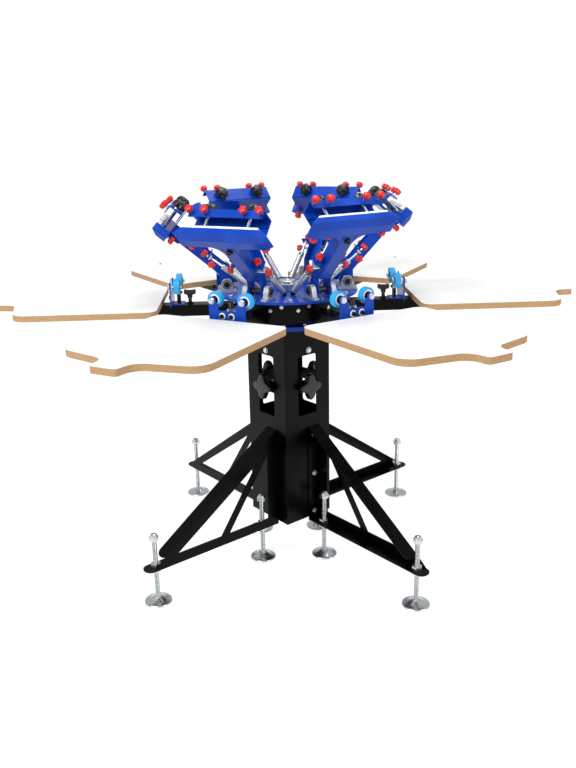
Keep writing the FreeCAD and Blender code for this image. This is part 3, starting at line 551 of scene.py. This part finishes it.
bm = bmesh.new()
for t in (-ROLLER_T, ROLLER_T):
    inner = (ROLLER_R - ROLLER_WIDTH / 2 - AXLE_PLAY, t, ROLLER_Z)
    add_hex_bolt(bm, facing(inner, (-1, 0, 0)))
    add_turned(bm, drum_profile(AXLE_RADIUS, 0, AXLE_LENGTH), facing(inner, (1, 0, 0)), 0, 16)
    add_hex_bolt(bm, facing((GATE_FACE_R, t, ROLLER_Z), (1, 0, 0)))
for t in (-GATE_SCREW_T, GATE_SCREW_T):
    out = facing((GATE_FACE_R, t, GATE_SCREW_Z), (1, 0, 0))
    add_turned(bm, GATE_WASHER_PROFILE, out, 1, 28)
    add_turned(bm, SOCKET_HEAD_PROFILE, out, 2, 24)
stop = thread_profile(STOP_RADIUS, STOP_FOOT_Z, STOP_TOP_Z, THREAD_PITCH, STOP_THREAD_DEPTH)
add_turned(bm, stop, Matrix.Translation((ROLLER_R, 0, 0)), 2, 14)
nut = Matrix.Translation((ROLLER_R, 0, STOP_NUT_Z))
add_bar(bm, 6, STOP_NUT_FLATS, STOP_NUT_HEIGHT, nut, 0, 0.0008)
gates = bmesh.new()
for k in range(6):
    mesh = bpy.data.meshes.new("gate_set")
    bm.to_mesh(mesh)
    mesh.transform(station(k))
    gates.from_mesh(mesh)
    bpy.data.meshes.remove(mesh)
finishes = [zinc, nylon, phenolic]
finished("gate_screws", gates, finishes, "platen_carousel", ["gate_fasteners"])

# Rollers: tyres of polyurethane cast on moulded nylon hubs, with a dark bearing. Two turn on the axle
# bolts of each gate.
TYRE_PROFILE = [
    (0.0185, 0), (0.0235, 0), (0.025, 0.0016), (0.025, 0.0184), (0.0235, 0.020), (0.0185, 0.020), (0.0185, 0),
]
HUB_PROFILE = [(0.0125, 0.001), (0.0185, 0.001), (0.0185, 0.019), (0.0125, 0.019), (0.0125, 0.001)]
BEARING_PROFILE = [(0.0052, 0.0), (0.0125, 0.0), (0.0125, 0.020), (0.0052, 0.020), (0.0052, 0.0)]

# Polyurethane, cast cyan: rubbery satin with faint scuffs round the tread.
polyurethane, tree, shader, spot = new_material("cast_cyan_polyurethane")
scuffs = grain(tree, spot, 0.008, 4.0)
coat(tree, shader, scuffs, "#119BE0", "#2AB6F4", 0.36, 0.55)

bm = bmesh.new()
inner = facing((-ROLLER_WIDTH / 2, 0, 0), (1, 0, 0))
add_turned(bm, TYRE_PROFILE, inner, 0, 48)
add_turned(bm, HUB_PROFILE, inner, 1, 48)
add_turned(bm, BEARING_PROFILE, inner, 2, 32)
finishes = [polyurethane, nylon, phenolic]
for k in range(6):
    for name, t in (("left", -ROLLER_T), ("right", ROLLER_T)):
        place = station(k) @ Matrix.Translation((ROLLER_R, t, ROLLER_Z))
        body = f"roller_{name}_{k + 1}"
        finished(body + "_tyre", bm, finishes, body, [body], place)

# Wing knobs: hand screws moulded from black phenolic. Each screws into its arm and locks the platen
# there.
WING_R = 0.327
WING_HALF = 0.005
WING_OUTLINE = [(0.006, 0.938, 0.004), (0.020, 0.943, 0.005), (0.020, 0.960, 0.005), (0.009, 0.9555, 0.006)]
WING_STEM_PROFILE = [
    (0, 0.910), (0.011, 0.910), (0.011, 0.914), (0.006, 0.916), (0.006, 0.928), (0.0085, 0.932),
    (0.0085, 0.941), (0, 0.941),
]
bm = bmesh.new()
wing = WING_OUTLINE + [(-y, z, radius) for y, z, radius in reversed(WING_OUTLINE)]
wing = rounded_corners(wing, 5)
upright = Matrix(((1, 0, 0, WING_R), (0, 0, -1, 0), (0, 1, 0, 0), (0, 0, 0, 1)))
for k in range(6):
    add_plate(bm, wing, -WING_HALF, WING_HALF, station(k) @ upright, 0, 0.002)
    add_turned(bm, WING_STEM_PROFILE, station(k) @ Matrix.Translation((WING_R, 0, 0)), 0, 20)
finished("wing_knobs", bm, [phenolic], "platen_carousel", ["platen_knobs"])

# Disc and post: the disc is turned from plate, enamelled blue and carries the six heads. The post is
# plated with zinc, stands in the column and holds the disc down with its nut.
DISC_SCREW = (0.215, 0, 0.950)
DISC_SCREW_FLATS = 0.0075
DISC_SCREW_HEIGHT = 0.006
POST_RADIUS = 0.030
POST_Z = (0.872, 0.961)
NUT_Z = 0.9504
POST_NUT_FLATS = 0.044
POST_NUT_HEIGHT = 0.022
POST_TIP_PROFILE = [
    (0, 0.971), (POST_RADIUS, 0.971), (POST_RADIUS, 0.979), (0.0285, 0.9804), (0.010, 0.9804), (0.008, 0.976),
    (0, 0.976),
]
eased_copy("head_disc", "head_carousel", blue_enamel, 0.0018)
bm = bmesh.new()
for k in range(6):
    turn = station(k) @ Matrix.Rotation(math.pi / 6, 4, "Z")
    add_hex_bolt(bm, turn @ Matrix.Translation(DISC_SCREW), DISC_SCREW_FLATS, DISC_SCREW_HEIGHT)
finished("disc_screws", bm, [zinc], "head_carousel")

bm = bmesh.new()
add_turned(bm, drum_profile(POST_RADIUS, *POST_Z), Matrix.Identity(4), 0, 48)
add_bar(bm, 6, POST_NUT_FLATS, POST_NUT_HEIGHT, Matrix.Translation((0, 0, NUT_Z)), 0, 0.002)
add_turned(bm, POST_TIP_PROFILE, Matrix.Identity(4), 0, 48)
finished("post_and_nut", bm, [zinc], "base", ["spindle"])

# Pillow blocks: cast housings with a round crown. A dark seal and a bright collar show round each end
# of the shaft, and a screw in each foot holds the block on the disc.
PIVOT_R = 0.200
PIVOT_Z = 0.978
BLOCK_T = 0.038
BLOCK_HALF_WIDTH = 0.009
BLOCK_OUTLINE = [
    (0.033, 0.950, 0.002), (0.033, 0.957, 0.003), (0.022, 0.959, 0.004), (0.0185, 0.978, 0.006),
    (0.012, 0.9958, 0.010),
]
BLOCK_SCREW_X = 0.027
BLOCK_SCREW_Z = 0.9572
BLOCK_SCREW_FLATS = 0.0048
BLOCK_SCREW_HEIGHT = 0.005
SEAL_PROFILE = [(0.0124, -0.001), (0.0150, -0.001), (0.0150, 0.0008), (0.0124, 0.0008), (0.0124, -0.001)]
COLLAR_PROFILE = [(0.0102, -0.001), (0.0124, -0.001), (0.0124, 0.0022), (0.0102, 0.0022), (0.0102, -0.001)]

# Cast alloy under silver paint: soft metallic with the sand's grain, about 2 mm, still showing.
cast_alloy, tree, shader, spot = new_material("silver_painted_casting")
sand = grain(tree, spot, 0.002, 3.0)
tree.links.new(blend_colours(tree, sand, "#A9AEB2", "#C6CACD"), shader.inputs["Base Color"])
shader.inputs["Metallic"].default_value = 0.7
shader.inputs["Roughness"].default_value = 0.42
raise_surface(tree, shader, sand, 0.00015)

crown = [(PIVOT_R + x, z, radius) for x, z, radius in BLOCK_OUTLINE]
crown += [(PIVOT_R - x, z, radius) for x, z, radius in reversed(BLOCK_OUTLINE)]
crown = rounded_corners(crown, 6)
lying = Matrix(((1, 0, 0, 0), (0, 0, -1, 0), (0, 1, 0, 0), (0, 0, 0, 1)))
bm = bmesh.new()
for k in range(6):
    for t in (-BLOCK_T, BLOCK_T):
        place = station(k) @ Matrix.Translation((0, t, 0)) @ lying
        add_plate(bm, crown, -BLOCK_HALF_WIDTH, BLOCK_HALF_WIDTH, place, 0, 0.0012)
        for face in (-1, 1):
            out = station(k) @ facing((PIVOT_R, t + face * BLOCK_HALF_WIDTH, PIVOT_Z), (0, face, 0))
            add_turned(bm, SEAL_PROFILE, out, 1, 32)
            add_turned(bm, COLLAR_PROFILE, out, 2, 32)
        for x in (-BLOCK_SCREW_X, BLOCK_SCREW_X):
            screw = station(k) @ Matrix.Translation((PIVOT_R + x, t, BLOCK_SCREW_Z))
            add_hex_bolt(bm, screw, BLOCK_SCREW_FLATS, BLOCK_SCREW_HEIGHT, 2)
finishes = [cast_alloy, phenolic, zinc]
finished("bearing_blocks", bm, finishes, "head_carousel", ["pillow_blocks"])

# Lift springs: a pair of closely wound extension springs of plated wire for each head, hooked in dark
# seats screwed to the disc.
SPRING_T = 0.043
SPRING_FOOT = Vector((0.099, 0, 0.952))
EAR_U = 0.100
EAR_V = 0.036
HEAD_LIFTS = [math.radians(angle) for angle in (48, 48, 40, 40, 48, 48)]
SPRING_START = 0.016
SPRING_LENGTH = 0.104
SPRING_RADIUS = 0.010
WIRE_RADIUS = 0.0016
SPRING_TURNS = 31
SEAT_PROFILE = [(0, 0), (0.008, 0), (0.008, 0.0145), (0.0065, SPRING_START), (0, SPRING_START)]

# Spring wire, zinc plated: bright drawn steel, a little streaked along the turns.
spring_wire, tree, shader, spot = new_material("plated_spring_wire")
streaks = grain(tree, spot, 0.004, 3.0)
coat(tree, shader, streaks, "#C0C4C8", "#D8DBDE", 0.36, 0.44)
shader.inputs["Metallic"].default_value = 1.0


def lifted(lift):
    """The place of a raised head at station zero, its origin on the pivot."""
    return Matrix.Translation((PIVOT_R, 0, PIVOT_Z)) @ Matrix.Rotation(-lift, 4, "Y")


def spring_run(lift):
    """The straight line from a spring's seat to the ear on its head."""
    return lifted(lift) @ Vector((EAR_U, 0, EAR_V)) - SPRING_FOOT


def on_spring(lift, side, reach):
    """A place on one spring's line at a reach from its foot, Z along the line."""
    along = spring_run(lift).normalized()
    return facing(SPRING_FOOT + Vector((0, side * SPRING_T, 0)) + along * reach, along)


def add_coil(bm, radius, wire, length, turns, place, finish=0, steps=18):
    """A closely wound spring, its wire's section spun up along the axis."""
    before = set(bm.faces)
    upright = Matrix.Translation((radius - wire, 0, wire)) @ Matrix.Rotation(math.pi / 2, 4, "X")
    made = bmesh.ops.create_circle(bm, segments=8, radius=wire, matrix=upright)
    total = steps * turns
    rise = (length - 2 * wire) / total
    bmesh.ops.spin(
        bm, geom=made["verts"] + edges_at(made["verts"]), cent=(0, 0, 0), axis=(0, 0, 1),
        dvec=(0, 0, rise), angle=2 * math.pi * turns, steps=total,
    )
    fresh = [face for face in bm.faces if face not in before]
    ends = dict.fromkeys(edge for face in fresh for edge in face.edges if edge.is_boundary)
    bmesh.ops.holes_fill(bm, edges=list(ends), sides=8)
    verts = {vert for face in bm.faces if face not in before for vert in face.verts}
    bmesh.ops.transform(bm, matrix=place, verts=list(verts))
    return part_faces(bm, before, finish)


for k, lift in enumerate(HEAD_LIFTS):
    bm = bmesh.new()
    for side in (-1, 1):
        foot = on_spring(lift, side, SPRING_START)
        add_coil(bm, SPRING_RADIUS, WIRE_RADIUS, SPRING_LENGTH, SPRING_TURNS, foot)
    name = f"spring_coils_{k + 1}"
    coils = finished(name, bm, [spring_wire], None, ["springs"], station(k))
    low = station(k) @ on_spring(lift, 0, SPRING_START).translation
    high = station(k) @ on_spring(lift, 0, SPRING_START + SPRING_LENGTH).translation
    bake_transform(coils)

bm = bmesh.new()
for k, lift in enumerate(HEAD_LIFTS):
    for side in (-1, 1):
        add_turned(bm, SEAT_PROFILE, station(k) @ on_spring(lift, side, 0), 0, 20)
finished("spring_seats", bm, [phenolic], "head_carousel", ["spring_anchors"])

# Heads: arms welded from two side plates and a floor sheet, with the lower jaw and two hollow-edged
# gussets at their end and an ear for each spring. They are enamelled with the disc.
for k in range(6):
    eased_copy(f"head_arm_{k + 1}", f"head_{k + 1}", blue_enamel, 0.001)

# Head fittings: a dark steel pivot shaft, a strip on the jaw in white nylon whose white is a painted
# highlight standing for the lit top face of a metal bar, the contact screw, the threaded tension rods
# with their zinc forks, and the moulded red knobs that adjust the head.
JAW_BACK = 0.245
JAW_FRONT = 0.298
JAW_TOP = 0.033
KNOB_RADIUS = 0.0125
KNOB_HEIGHT = 0.017
KNOB_STEM = 0.007
KNOB_PROFILE = [
    (0, 0), (0.55 * KNOB_RADIUS, 0), (0.95 * KNOB_RADIUS, 0.004), (KNOB_RADIUS, 0.006),
    (KNOB_RADIUS, KNOB_HEIGHT - 0.004), (0.9 * KNOB_RADIUS, KNOB_HEIGHT - 0.0012),
    (0.6 * KNOB_RADIUS, KNOB_HEIGHT), (0, KNOB_HEIGHT),
]
KNOB_WAIST = 0.24
STEM_RADIUS = 0.004
STEM_SINK = 0.001
FORK_HALF = 0.008
FORK_WALL_Y = (0.0045, FORK_HALF)
FORK_BRIDGE_Z = (0.011, 0.018)
FORK_WALL_TOP = 0.0125
PIN_RADIUS = 0.003
PIN_Z = 0.005
ROD_PITCH = 0.002
SMALL_THREAD_DEPTH = 0.0005
ROD_NUT_FLATS = 0.0075
EAR_NUT_HEIGHT = 0.006
FORK_NUT_HEIGHT = 0.005
EAR_BACK = 0.004
EAR_NUT_DROP = 0.0065
SHAFT_PROFILE = [(0, 0), (0.0085, 0), (0.010, 0.0015), (0.010, 0.1025), (0.0085, 0.104), (0, 0.104)]
SHAFT_END_T = 0.052
# The jaw strip is white nylon as a painted highlight: its white stands for light on a metal bar's top.
HIGHLIGHT_STRIP_U = (JAW_FRONT - 0.015, JAW_FRONT)
HIGHLIGHT_STRIP_V = (JAW_TOP, JAW_TOP + 0.007)
HIGHLIGHT_STRIP_HALF = 0.123
CONTACT_PLACE = (0.214, 0, 0.008)
CONTACT_PROFILE = [
    (0, 0), (0.010, 0), (0.010, 0.007), (0.009, 0.008), (0.006, 0.008), (0.0055, 0.004), (0, 0.004),
]
BACK_KNOB = (0.125, 0.014)
SIDE_KNOB = (0.080, 0.024, 0.024)
SIDE_STEM = 0.034

# Nylon, moulded signal red: bright satin with a slight mottle.
red_plastic, tree, shader, spot = new_material("moulded_red_nylon")
mottle = grain(tree, spot, 0.006, 3.0)
coat(tree, shader, mottle, "#C4140F", "#DC221A", 0.28, 0.42)


def add_lobed_knob(bm, place, stem=KNOB_STEM, red=0, steel=1):
    """A red five-lobed knob on a zinc screw."""
    add_turned(bm, drum_profile(STEM_RADIUS, 0, stem + STEM_SINK), place, steel, 12)
    add_turned(bm, KNOB_PROFILE, place @ Matrix.Translation((0, 0, stem)), red, 40, 5, KNOB_WAIST)


def add_tension_rod(bm, lift, side):
    """Fork with its pin, threaded rod, nuts each side of the arm's ear, and the knob."""
    ear = spring_run(lift).length
    fork = on_spring(lift, side, SPRING_START + SPRING_LENGTH)
    width = (-FORK_HALF, FORK_HALF)
    add_block(bm, width, width, FORK_BRIDGE_Z, fork, 1, 0.001)
    for cheek in (-1, 1):
        add_block(bm, width, sorted(cheek * y for y in FORK_WALL_Y), (0, FORK_WALL_TOP), fork, 1, 0.001)
    pin = fork @ Matrix.Translation((0, -FORK_HALF, PIN_Z)) @ Matrix.Rotation(-math.pi / 2, 4, "X")
    add_turned(bm, drum_profile(PIN_RADIUS, 0, 2 * FORK_HALF), pin, 1, 12)
    low, top = FORK_BRIDGE_Z[1], ear + EAR_BACK - SPRING_START - SPRING_LENGTH
    add_turned(bm, thread_profile(STEM_RADIUS, low, top, ROD_PITCH, SMALL_THREAD_DEPTH), fork, 1, 12)
    nut = on_spring(lift, side, ear - EAR_NUT_DROP)
    add_bar(bm, 6, ROD_NUT_FLATS, EAR_NUT_HEIGHT, nut, 1, 0.0006)
    add_bar(bm, 6, ROD_NUT_FLATS, FORK_NUT_HEIGHT, fork @ Matrix.Translation((0, 0, low)), 1, 0.0006)
    add_lobed_knob(bm, on_spring(lift, side, ear + EAR_BACK))


def build_fittings(lift):
    """All the small fittings of one head at station zero."""
    bm = bmesh.new()
    head = lifted(lift)
    add_turned(bm, SHAFT_PROFILE, head @ facing((0, -SHAFT_END_T, 0), (0, 1, 0)), 2, 28)
    # Jaw strip in white nylon: a painted highlight for the lit top of a metal bar.
    add_block(bm, HIGHLIGHT_STRIP_U, (-HIGHLIGHT_STRIP_HALF, HIGHLIGHT_STRIP_HALF), HIGHLIGHT_STRIP_V, head, 3, 0.001)
    add_turned(bm, CONTACT_PROFILE, head @ facing(CONTACT_PLACE, (0, 0, -1)), 2, 28)
    for side in (-1, 1):
        t, v = BACK_KNOB
        add_lobed_knob(bm, head @ facing((JAW_BACK, side * t, v), (-1, 0, 0)))
        u, t, v = SIDE_KNOB
        add_lobed_knob(bm, head @ facing((u, side * t, v), (0, side, 0)), SIDE_STEM)
        add_tension_rod(bm, lift, side)
    return bm


# The white nylon here colours only the jaw strip, a painted highlight.
finishes = [red_plastic, zinc, phenolic, nylon]
for k, lift in enumerate(HEAD_LIFTS):
    node, body = f"head_fittings_{k + 1}", f"head_{k + 1}"
    finished(node + "_made", build_fittings(lift), finishes, body, [node], station(k))

# Clamps: channels folded from sheet and enamelled blue, that close on the screen frame. Two moulded
# black hand knobs run on zinc studs from the jaw, and four red knobs in front grip the frame.
CLAMP_BACK = 0.250
CLAMP_HALF = 0.125
CLAMP_FOOT = 0.070
CLAMP_TOP = 0.098
CLAMP_WALL = 0.003
STUD_U = 0.273
STUD_T = 0.072
FRONT_KNOB_T = (-0.118, -0.065, 0.065, 0.118)
FRONT_KNOB_V = 0.086
STUD_RADIUS = 0.005
STUD_V = (0.022, 0.099)
CLAMP_COLLAR_RADIUS = 0.013
CLAMP_COLLAR_HEIGHT = 0.004
CLAMP_KNOB_PROFILE = [
    (0, 0.003), (0.016, 0.003), (0.0225, 0.006), (0.0235, 0.009), (0.0225, 0.018), (0.017, 0.0255),
    (0.014, 0.0275), (0.009, 0.028), (0, 0.028),
]
CLAMP_KNOB_WAIST = 0.22

bm = bmesh.new()
section = [
    (CLAMP_BACK, CLAMP_FOOT), (CLAMP_BACK, CLAMP_TOP), (JAW_FRONT, CLAMP_TOP), (JAW_FRONT, CLAMP_FOOT),
    (JAW_FRONT - CLAMP_WALL, CLAMP_FOOT), (JAW_FRONT - CLAMP_WALL, CLAMP_TOP - CLAMP_WALL),
    (CLAMP_BACK + CLAMP_WALL, CLAMP_TOP - CLAMP_WALL), (CLAMP_BACK + CLAMP_WALL, CLAMP_FOOT),
]
add_plate(bm, section, -CLAMP_HALF, CLAMP_HALF, lying, 0, 0.001)
for t in (-STUD_T, STUD_T):
    foot = Matrix.Translation((STUD_U, t, 0))
    add_turned(bm, thread_profile(STUD_RADIUS, *STUD_V, ROD_PITCH, SMALL_THREAD_DEPTH), foot, 1, 14)
    knob = foot @ Matrix.Translation((0, 0, CLAMP_TOP))
    add_turned(bm, drum_profile(CLAMP_COLLAR_RADIUS, 0, CLAMP_COLLAR_HEIGHT), knob, 1, 24)
    add_turned(bm, CLAMP_KNOB_PROFILE, knob, 2, 60, 6, CLAMP_KNOB_WAIST)
for t in FRONT_KNOB_T:
    add_lobed_knob(bm, facing((JAW_FRONT, t, FRONT_KNOB_V), (1, 0, 0)), red=3)
finishes = [blue_enamel, zinc, phenolic, red_plastic]
for k, lift in enumerate(HEAD_LIFTS):
    node = f"clamp_{k + 1}"
    finished(node + "_made", bm, finishes, node, [node], station(k) @ lifted(lift))

# Floor, light and camera: a pale matt studio floor on which the soft shadow falls, three large soft
# lamps, and the photograph's viewpoint.
GLOW_SHARE = 0.7
GLOW_STRENGTH = 1.25
WORLD_STRENGTH = 0.55
FLOOR_HALF = 14


def seen_by(tree, *rays):
    """1 for a ray of any of the named kinds, else 0."""
    path = add_node(tree, "ShaderNodeLightPath").outputs
    seen = path[rays[0]]
    for ray in rays[1:]:
        seen = add_node(tree, "ShaderNodeMath", {"operation": "MAXIMUM"}, {0: seen, 1: path[ray]}).outputs[0]
    return seen


white_floor, tree, shader, spot = new_material("pale_studio_floor")
dust = grain(tree, spot, 0.4)
tree.links.new(blend_colours(tree, dust, "#F2F2F2", "#F6F6F6"), shader.inputs["Base Color"])
shader.inputs["Roughness"].default_value = 0.9
seen = seen_by(tree, "Is Camera Ray", "Is Glossy Ray", "Is Transmission Ray")
share = add_node(tree, "ShaderNodeMath", {"operation": "MULTIPLY", 1: GLOW_SHARE}, {0: seen}).outputs[0]
glow = add_node(tree, "ShaderNodeEmission", {"Color": (1, 1, 1, 1), "Strength": GLOW_STRENGTH}).outputs[0]
mix = add_node(tree, "ShaderNodeMixShader", links={0: share, 1: shader.outputs[0], 2: glow})
tree.links.new(mix.outputs[0], tree.nodes["Material Output"].inputs["Surface"])
bm = bmesh.new()
bmesh.ops.create_grid(bm, x_segments=4, y_segments=4, size=FLOOR_HALF)
mesh = bpy.data.meshes.new("studio_floor")
bm.to_mesh(mesh)
mesh.materials.append(white_floor)
floor = bpy.data.objects.new("studio_floor", mesh)
bpy.context.scene.collection.objects.link(floor)

world = bpy.data.worlds.new("studio")
bpy.context.scene.world = world
world.use_nodes = True
tree = world.node_tree
back = tree.nodes["Background"]
back.inputs["Color"].default_value = (1, 1, 1, 1)
seen = seen_by(tree, "Is Camera Ray", "Is Transmission Ray")
tree.links.new(between(tree, seen, WORLD_STRENGTH, 1.0), back.inputs["Strength"])

CAMERA_TURN = math.radians(-39.5)
CAMERA_BACK = 2.6758
CAMERA_HEIGHT = 1.4487
CAMERA_PITCH = 0.311761
CAMERA_YAW = -0.009493
CAMERA_ROLL = -0.022544
FOCAL_PIXELS = 799.9
PHOTO_WIDTH, PHOTO_HEIGHT = 576, 768
OPTICAL_CENTRE = (281.7, 391.4)
SENSOR = 36.0
LENS_REACH = 60

ahead = Vector((math.sin(CAMERA_YAW), math.cos(CAMERA_YAW), 0)) * math.cos(CAMERA_PITCH)
forward = ahead - Vector((0, 0, math.sin(CAMERA_PITCH)))
right = Vector((math.cos(CAMERA_YAW), -math.sin(CAMERA_YAW), 0))
down = forward.cross(right)
across = right * math.cos(CAMERA_ROLL) - down * math.sin(CAMERA_ROLL)
down = right * math.sin(CAMERA_ROLL) + down * math.cos(CAMERA_ROLL)
aim = Matrix((across, -down, -forward)).transposed().to_4x4()
photographed_from = Matrix.Rotation(CAMERA_TURN, 4, "Z")
lens = bpy.data.cameras.new("camera")
lens.sensor_fit = "VERTICAL"
lens.sensor_height = SENSOR
lens.lens = FOCAL_PIXELS / PHOTO_HEIGHT * SENSOR
lens.shift_x = (PHOTO_WIDTH / 2 - OPTICAL_CENTRE[0]) / PHOTO_HEIGHT
lens.shift_y = (OPTICAL_CENTRE[1] - PHOTO_HEIGHT / 2) / PHOTO_HEIGHT
lens.clip_end = LENS_REACH
camera = bpy.data.objects.new("camera", lens)
camera.matrix_world = photographed_from @ Matrix.Translation((0, -CAMERA_BACK, CAMERA_HEIGHT)) @ aim
bpy.context.scene.collection.objects.link(camera)
bpy.context.scene.camera = camera

LAMPS = [
    ("key", (-2.2, -2.6, 3.6), 2.2, 130),
    ("fill", (3.0, -2.2, 2.4), 2.4, 45),
    ("top", (0.2, 0.6, 4.2), 2.6, 80),
]
LAMP_AIM = Vector((0, 0, 0.9))
for name, stand, size, power in LAMPS:
    light = bpy.data.lights.new(name, "AREA")
    light.shape = "DISK"
    light.size = size
    light.energy = power
    lamp = bpy.data.objects.new(name, light)
    look = (LAMP_AIM - Vector(stand)).to_track_quat("-Z", "Y").to_matrix().to_4x4()
    lamp.matrix_world = photographed_from @ Matrix.Translation(stand) @ look
    bpy.context.scene.collection.objects.link(lamp)

bpy.context.scene.view_settings.view_transform = "Standard"
